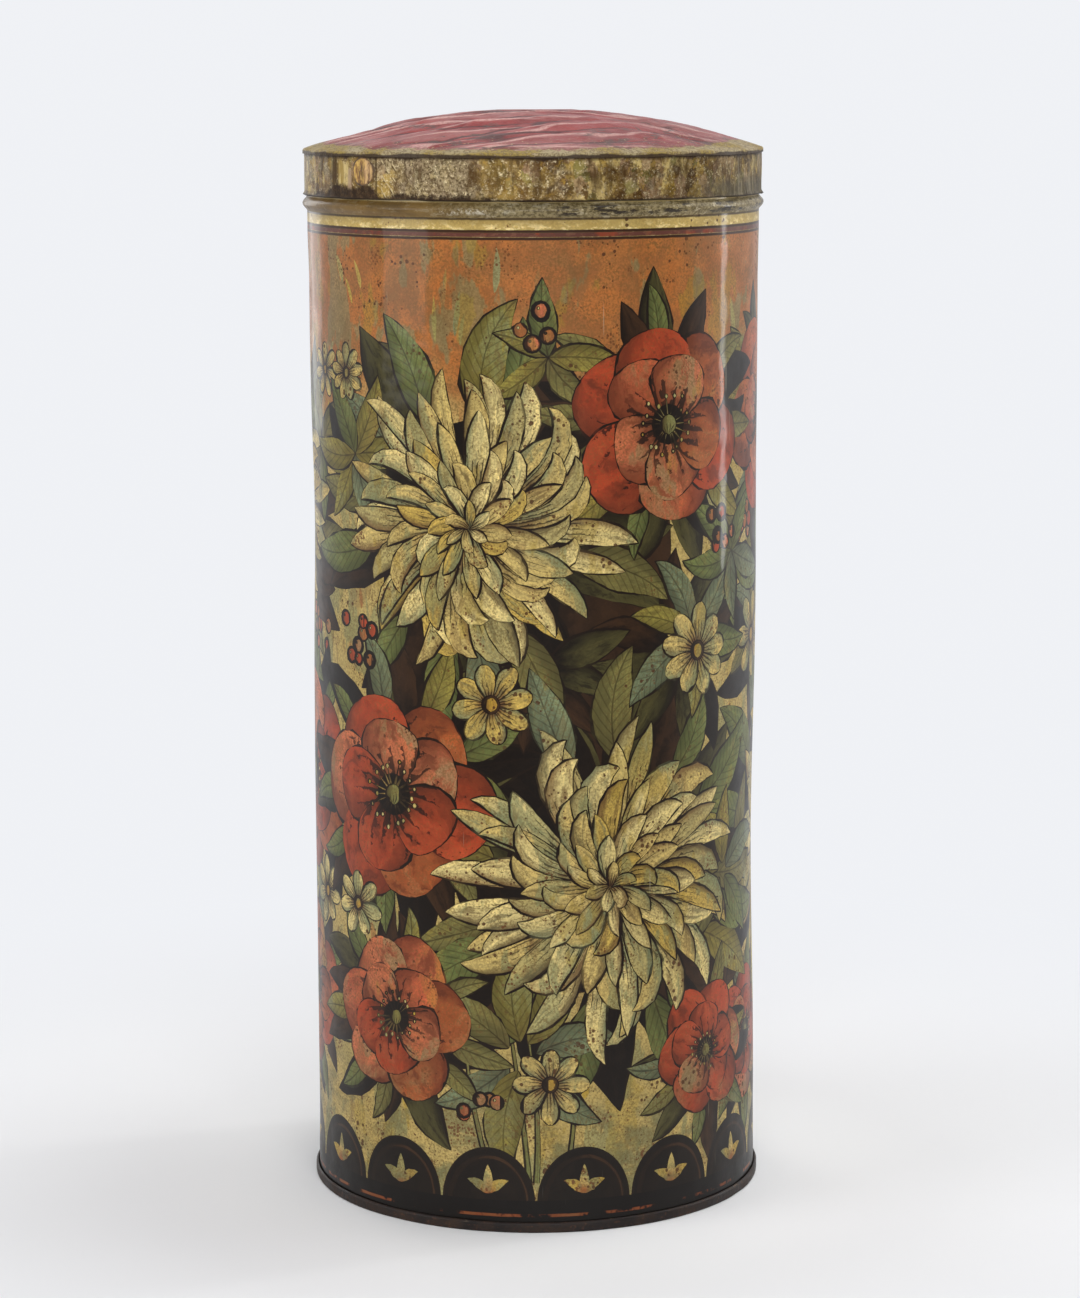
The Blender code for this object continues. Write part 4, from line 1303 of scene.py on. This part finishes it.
    # Marks beside the lap: a pale patch and a brown strip on one side, slanting scratches with a painted
    # shadow line beside each on the other
    bearing = math.radians(LAP_BEARING)
    beside = sum_("ADD", sum_("MULTIPLY", x, math.cos(bearing)), sum_("MULTIPLY", y, math.sin(bearing)))
    beside = sum_("DIVIDE", beside, MM)
    patch = sum_("MULTIPLY_ADD", streaks, 10.0, sum_("ABSOLUTE", sum_("ADD", beside, 9.2)))
    patch = fade(patch, 7.2, 8.0, 1, 0)
    patch_level = sum_("MULTIPLY_ADD", clumps, 4.0, sum_("ABSOLUTE", sum_("SUBTRACT", level, 7.0)))
    patch = sum_("MULTIPLY", patch, fade(patch_level, 4.6, 5.8, 1, 0))
    patch_paint = mix(fade(streaks, 0.44, 0.54), (0.60, 0.46, 0.20), (0.34, 0.23, 0.065))
    colour = mix(sum_("MULTIPLY", patch, fade(clumps, 0.6, 0.5, 0.35, 0.9)), colour, patch_paint)
    strip = sum_("MULTIPLY_ADD", streaks, 1.6, sum_("ABSOLUTE", sum_("ADD", beside, 5.7)))
    strip = sum_("MULTIPLY", fade(strip, 1.2, 1.7, 1, 0), fade(level, 8.6, 7.4, 0, 0.8))
    colour = mix(strip, colour, (0.36, 0.25, 0.16))
    slant = sum_("MULTIPLY_ADD", level, 0.75, sum_("MULTIPLY_ADD", patches, 3.0, beside))
    slant = sum_("FRACT", sum_("MULTIPLY", slant, 0.34))
    scratched = fade(sum_("ABSOLUTE", sum_("SUBTRACT", beside, 9.0)), 1.8, 3.4, 0.9, 0)
    scratched = sum_("MULTIPLY", scratched, fade(gold.grain(2.4, 3, 0.6, shift=73), 0.44, 0.54))
    # A painted shadow line beside each slanting scratch.
    slant_shadow = fade(sum_("ABSOLUTE", sum_("SUBTRACT", slant, 0.34)), 0.06, 0.16, 1, 0)
    colour = mix(sum_("MULTIPLY", slant_shadow, scratched), colour, (0.085, 0.048, 0.018))
    slant = fade(sum_("ABSOLUTE", sum_("SUBTRACT", slant, 0.5)), 0.05, 0.12, 1, 0)
    colour = mix(sum_("MULTIPLY", slant, scratched), colour, (0.56, 0.45, 0.25))
    groove = sum_("ABSOLUTE", sum_("SUBTRACT", beside, LAP_EDGE * math.radians(1) * SKIRT_FACE * 0.82))
    colour = mix(fade(groove, 0.15, 0.6, 0.75, 0), colour, (0.045, 0.024, 0.01))

    # Dark stains along the foot, higher under the lap and darkest at the very edge, and under the dome's hem
    # a dark band of dirt and painted shadow
    blotch = fade(sum_("ABSOLUTE", sum_("ADD", beside, 6.0)), 12.5, 8, 0, 2.4)
    wander = sum_("MULTIPLY_ADD", gold.grain(7, 4, 0.65, shift=41), 5.5, sum_("SUBTRACT", level, blotch))
    wander = sum_("ADD", wander, fade(x, -0.016, 0.008, 0, 1.1))
    wander = sum_("MULTIPLY_ADD", sum_("SUBTRACT", clumps, 0.5), 3.0, wander)
    foot = fade(wander, 3.1, 4.6, 0.95, 0)
    foot_paint = mix(fade(clumps, 0.44, 0.62), (0.022, 0.012, 0.007), (0.062, 0.034, 0.016))
    colour = mix(foot, colour, foot_paint)
    colour = mix(fade(level, 0.15, 0.5, 0.9, 0), colour, (0.022, 0.013, 0.007))
    # Dirt and a painted shadow in a band just under the dome's hem.
    stain = sum_("MULTIPLY_ADD", gold.grain(9, 4, 0.65, shift=47), 2.4, level)
    colour = mix(fade(stain, 11.5, 12.6, 0, 0.92), colour, (0.026, 0.014, 0.008))
    gold.set(gold.shader.inputs["Base Color"], colour)
    gold.set(gold.shader.inputs["Metallic"], fade(fine, 0.6, 0.4, 0.02, 0.14))
    gold.set(gold.shader.inputs["Roughness"], fade(patches, 0.3, 0.7, 0.42, 0.58))
    gold.shader.inputs["Specular IOR Level"].default_value = 0.08
    bumps = gold.bump(gold.grain(4, 3, 0.6, shift=51), 0.0005, 0.5)
    gold.set(gold.shader.inputs["Normal"], gold.bump(clumps, 0.00012, 0.7, bumps))
    return gold.material


skirt = new_piece("flared_skirt", skirt_points, skirt_faces, [tarnished_finish(), bare_tin])
give_thickness(skirt, inner_slot=1, side=-1)
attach(skirt, "lid")
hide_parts("lid_skirt")

# The solder spot on the lap
# A round drop of solder, pressed flat while hot, that holds the lap of the skirt. It has gone
# rusty gold and brown, and grime lies round its edge.
SPOT_RADIUS = 4.5
SPOT_TALLER = 0.89
SPOT_PROUD = 0.62
SPOT_SUNK = 0.05
SPOT_RINGS = 18
SPOT_TURNS = 48

spot_low, spot_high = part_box("lap_solder")
spot_middle = (spot_low.z + spot_high.z) / 2 / MM
spot_points, spot_faces = [(0.0, 0.0, 0.6 * SPOT_PROUD)], []
for ring in range(1, SPOT_RINGS + 1):
    share = ring / SPOT_RINGS
    for step in range(SPOT_TURNS):
        angle = math.tau * step / SPOT_TURNS
        edge = 1 + 0.05 * math.sin(3 * angle + 1) + 0.03 * math.sin(5 * angle)
        lip = math.exp(-(((share - 0.82) / 0.12) ** 2))
        mound = 0.55 * math.exp(-((share / 0.42) ** 2)) * (1 + 0.25 * math.sin(2 * angle + 6 * share))
        rise = SPOT_PROUD * (0.3 * lip + mound + 0.25) * min(1, (1 - share) * 6)
        reach = SPOT_RADIUS * share * edge
        spot_points.append((reach * math.cos(angle), reach * SPOT_TALLER * math.sin(angle), rise))
for step in range(SPOT_TURNS):
    following = (step + 1) % SPOT_TURNS
    spot_faces.append((0, 1 + step, 1 + following))
    for ring in range(SPOT_RINGS - 1):
        near, far = 1 + ring * SPOT_TURNS, 1 + (ring + 1) * SPOT_TURNS
        spot_faces.append((near + step, far + step, far + following, near + following))
rim = 1 + (SPOT_RINGS - 1) * SPOT_TURNS
spot_faces.append(tuple(rim + step for step in range(SPOT_TURNS))[::-1])
across, tall, rise = np.array(spot_points).T
spot_back = SKIRT_FACE + SHEET - SPOT_SUNK
spot_s = math.radians(LAP_BEARING) * WALL_RADIUS + across * WALL_RADIUS / spot_back
spot_points = on_can(spot_s, spot_middle + tall, spot_back + rise)


def rusted_finish():
    """Solder gone rusty gold, with dark streaks, a dark heart and a dark ring round its edge."""
    rusted = Finish("rusted solder")
    sum_, fade, mix = rusted.sum, rusted.fade, rusted.mix
    bearing = math.radians(LAP_BEARING)
    x, y, z = rusted.parts(rusted.spot)
    across = sum_("ADD", sum_("MULTIPLY", x, math.cos(bearing)), sum_("MULTIPLY", y, math.sin(bearing)))
    tall = sum_("DIVIDE", sum_("SUBTRACT", z, spot_middle * MM), SPOT_TALLER)
    reach = sum_("SQRT", sum_("ADD", sum_("MULTIPLY", across, across), sum_("MULTIPLY", tall, tall)))
    reach = sum_("DIVIDE", reach, MM)
    cloud = rusted.grain(0.9, 4, 0.7, stretch=(1, 1, 4))
    streak = rusted.grain(0.85, 4, 0.7, stretch=(1, 1, 7), shift=8)
    colour = mix(fade(cloud, 0.42, 0.56), (0.21, 0.095, 0.018), (0.58, 0.36, 0.092))
    colour = mix(fade(across, 0.0002, 0.0016, 0, 0.6), colour, (0.62, 0.39, 0.19))
    colour = mix(fade(streak, 0.50, 0.60, 0, 0.85), colour, (0.09, 0.034, 0.010))
    heart = sum_("MULTIPLY_ADD", streak, 4.0, sum_("MULTIPLY", sum_("ABSOLUTE", across), 1.2 / MM))
    heart = fade(heart, 1.9, 3.2, 0.7, 0)
    heart = sum_("MULTIPLY", heart, fade(sum_("ABSOLUTE", tall), 0.0010, 0.0030, 1, 0))
    colour = mix(heart, colour, (0.060, 0.024, 0.008))
    ring = fade(sum_("MULTIPLY_ADD", cloud, 1.6, reach), 4.4, 5.0, 0, 0.9)
    colour = mix(ring, colour, (0.045, 0.021, 0.009))
    rusted.set(rusted.shader.inputs["Base Color"], colour)
    rusted.set(rusted.shader.inputs["Roughness"], fade(cloud, 0.3, 0.7, 0.4, 0.7))
    rusted.shader.inputs["Metallic"].default_value = 0.15
    rusted.set(rusted.shader.inputs["Normal"], rusted.bump(rusted.grain(0.9, 3), 0.0003, 0.6))
    return rusted.material


spot = new_piece("lap_solder_spot", spot_points, spot_faces, [rusted_finish()])
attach(spot, "lid")
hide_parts("lap_solder")

# The studio
# A seamless pale floor and backdrop, with softboxes round the can and above it, as for a
# catalogue photograph. The lamps keep the colours at about their own level.
BACKDROP = (0.868, 0.882, 0.915)
CAMERA_PLACE = (0.00154, -1.039, 0.3214)
CAMERA_TILT = 80.805
CAMERA_ROLL = -0.189
PHOTO_HEIGHT = 1298
FOCAL_PIXELS = 3666.2
FLOOR_RADIUS = 8
FLOOR_STEPS = 96

camera_data = bpy.data.cameras.new("camera")
camera = bpy.data.objects.new("camera", camera_data)
bpy.context.scene.collection.objects.link(camera)
camera.location = CAMERA_PLACE
camera.rotation_euler = (math.radians(CAMERA_TILT), 0, 0)
camera.rotation_euler.rotate_axis("Z", math.radians(CAMERA_ROLL))
camera_data.lens = FOCAL_PIXELS / PHOTO_HEIGHT * camera_data.sensor_width
bpy.context.scene.camera = camera


def seen_ray(nodes):
    """1 where the camera, a mirror or a glass looks, and 0 where light is gathered."""
    ray = nodes.tree.nodes.new("ShaderNodeLightPath").outputs
    gloss = nodes.sum("MAXIMUM", ray["Is Glossy Ray"], ray["Is Transmission Ray"])
    return ray["Is Camera Ray"], gloss


def floor_finish():
    """White paper near the can, which takes its shadow and is painted paler close round it to lift that
    shade, and the backdrop's colour further off.
    """
    paper = Finish("floor paper")
    x, y = paper.parts(paper.spot)[:2]
    far = paper.sum("SQRT", paper.sum("ADD", paper.sum("MULTIPLY", x, x), paper.sum("MULTIPLY", y, y)))
    # Painted light: the paper is paler close round the can, to lift the shade the can throws on it.
    paper_colour = paper.mix(paper.fade(far, 0.066, 0.125), (0.885, 0.885, 0.89), (0.80, 0.80, 0.81))
    paper.set(paper.shader.inputs["Base Color"], paper_colour)
    paper.shader.inputs["Roughness"].default_value = 0.85
    paper.shader.inputs["Specular IOR Level"].default_value = 0.15
    camera_ray, gloss_ray = seen_ray(paper)
    room = paper.sum("MULTIPLY", gloss_ray, paper.fade(y, -0.5, 0.15, 0.85, 0))
    glow = paper.add("ShaderNodeEmission", {0: paper.mix(room, BACKDROP, (0.05, 0.05, 0.05))})
    share = paper.sum("MULTIPLY", paper.fade(far, 0.10, 0.36), paper.sum("MAXIMUM", camera_ray, gloss_ray))
    joined = paper.add("ShaderNodeMixShader", {0: share, 1: paper.shader.outputs[0], 2: glow})
    paper.set(paper.tree.nodes["Material Output"].inputs[0], joined)
    return paper.material


floor_mesh = bpy.data.meshes.new("floor")
floor_turns = [math.tau * step / FLOOR_STEPS for step in range(FLOOR_STEPS)]
floor_corners = [(math.cos(turn) * FLOOR_RADIUS, math.sin(turn) * FLOOR_RADIUS, 0) for turn in floor_turns]
floor_mesh.from_pydata(floor_corners, [], [tuple(range(FLOOR_STEPS))])
floor_mesh.materials.append(floor_finish())
floor = bpy.data.objects.new("floor", floor_mesh)
bpy.context.scene.collection.objects.link(floor)


def softbox(name, place, wide, tall, power):
    """A soft lamp that faces the middle of the can."""
    data = bpy.data.lights.new(name, "AREA")
    data.shape = "RECTANGLE"
    data.size = wide
    data.size_y = tall
    data.energy = power
    lamp = bpy.data.objects.new(name, data)
    bpy.context.scene.collection.objects.link(lamp)
    lamp.location = place
    lamp.visible_camera = False
    lamp.rotation_euler = (Vector((0, 0, 0.15)) - Vector(place)).to_track_quat("-Z", "Y").to_euler()


softbox("left softbox", (-1.05, -0.45, 0.55), 0.6, 0.9, 5.2)
softbox("right strip", (1.1, 0.42, 0.42), 0.10, 0.9, 3.0)
softbox("right softbox", (1.2, 0.45, 0.9), 1.1, 1.1, 5.2)
softbox("rear left softbox", (-0.75, 1.15, 0.5), 0.5, 0.9, 3.0)
softbox("top softbox", (0.15, 0.12, 1.4), 0.9, 0.8, 8.0)
softbox("front softbox", (0.2, -1.75, 0.75), 1.1, 1.0, 17.0)

world = bpy.data.worlds.new("studio")
bpy.context.scene.world = world
world.use_nodes = True
air = Nodes()
air.tree = world.node_tree
backdrop = world.node_tree.nodes["Background"]
direction = air.add("ShaderNodeTexCoord", {})
y, z = air.parts(direction)[1:]
sky = air.mix(air.fade(z, -0.05, 0.35), BACKDROP, between(BACKDROP, (1, 1, 1), 0.25))
camera_ray, gloss_ray = seen_ray(air)
behind = air.fade(y, -0.5, 0.4, 0.10, 0.9)
strength = air.sum("ADD", camera_ray, air.sum("MULTIPLY", gloss_ray, behind))
gathered = air.sum("SUBTRACT", 1, air.sum("MAXIMUM", camera_ray, gloss_ray))
strength = air.sum("MULTIPLY_ADD", gathered, 0.32, strength)
air.set(backdrop.inputs["Color"], sky)
air.set(backdrop.inputs["Strength"], strength)
bpy.context.scene.view_settings.view_transform = "Standard"
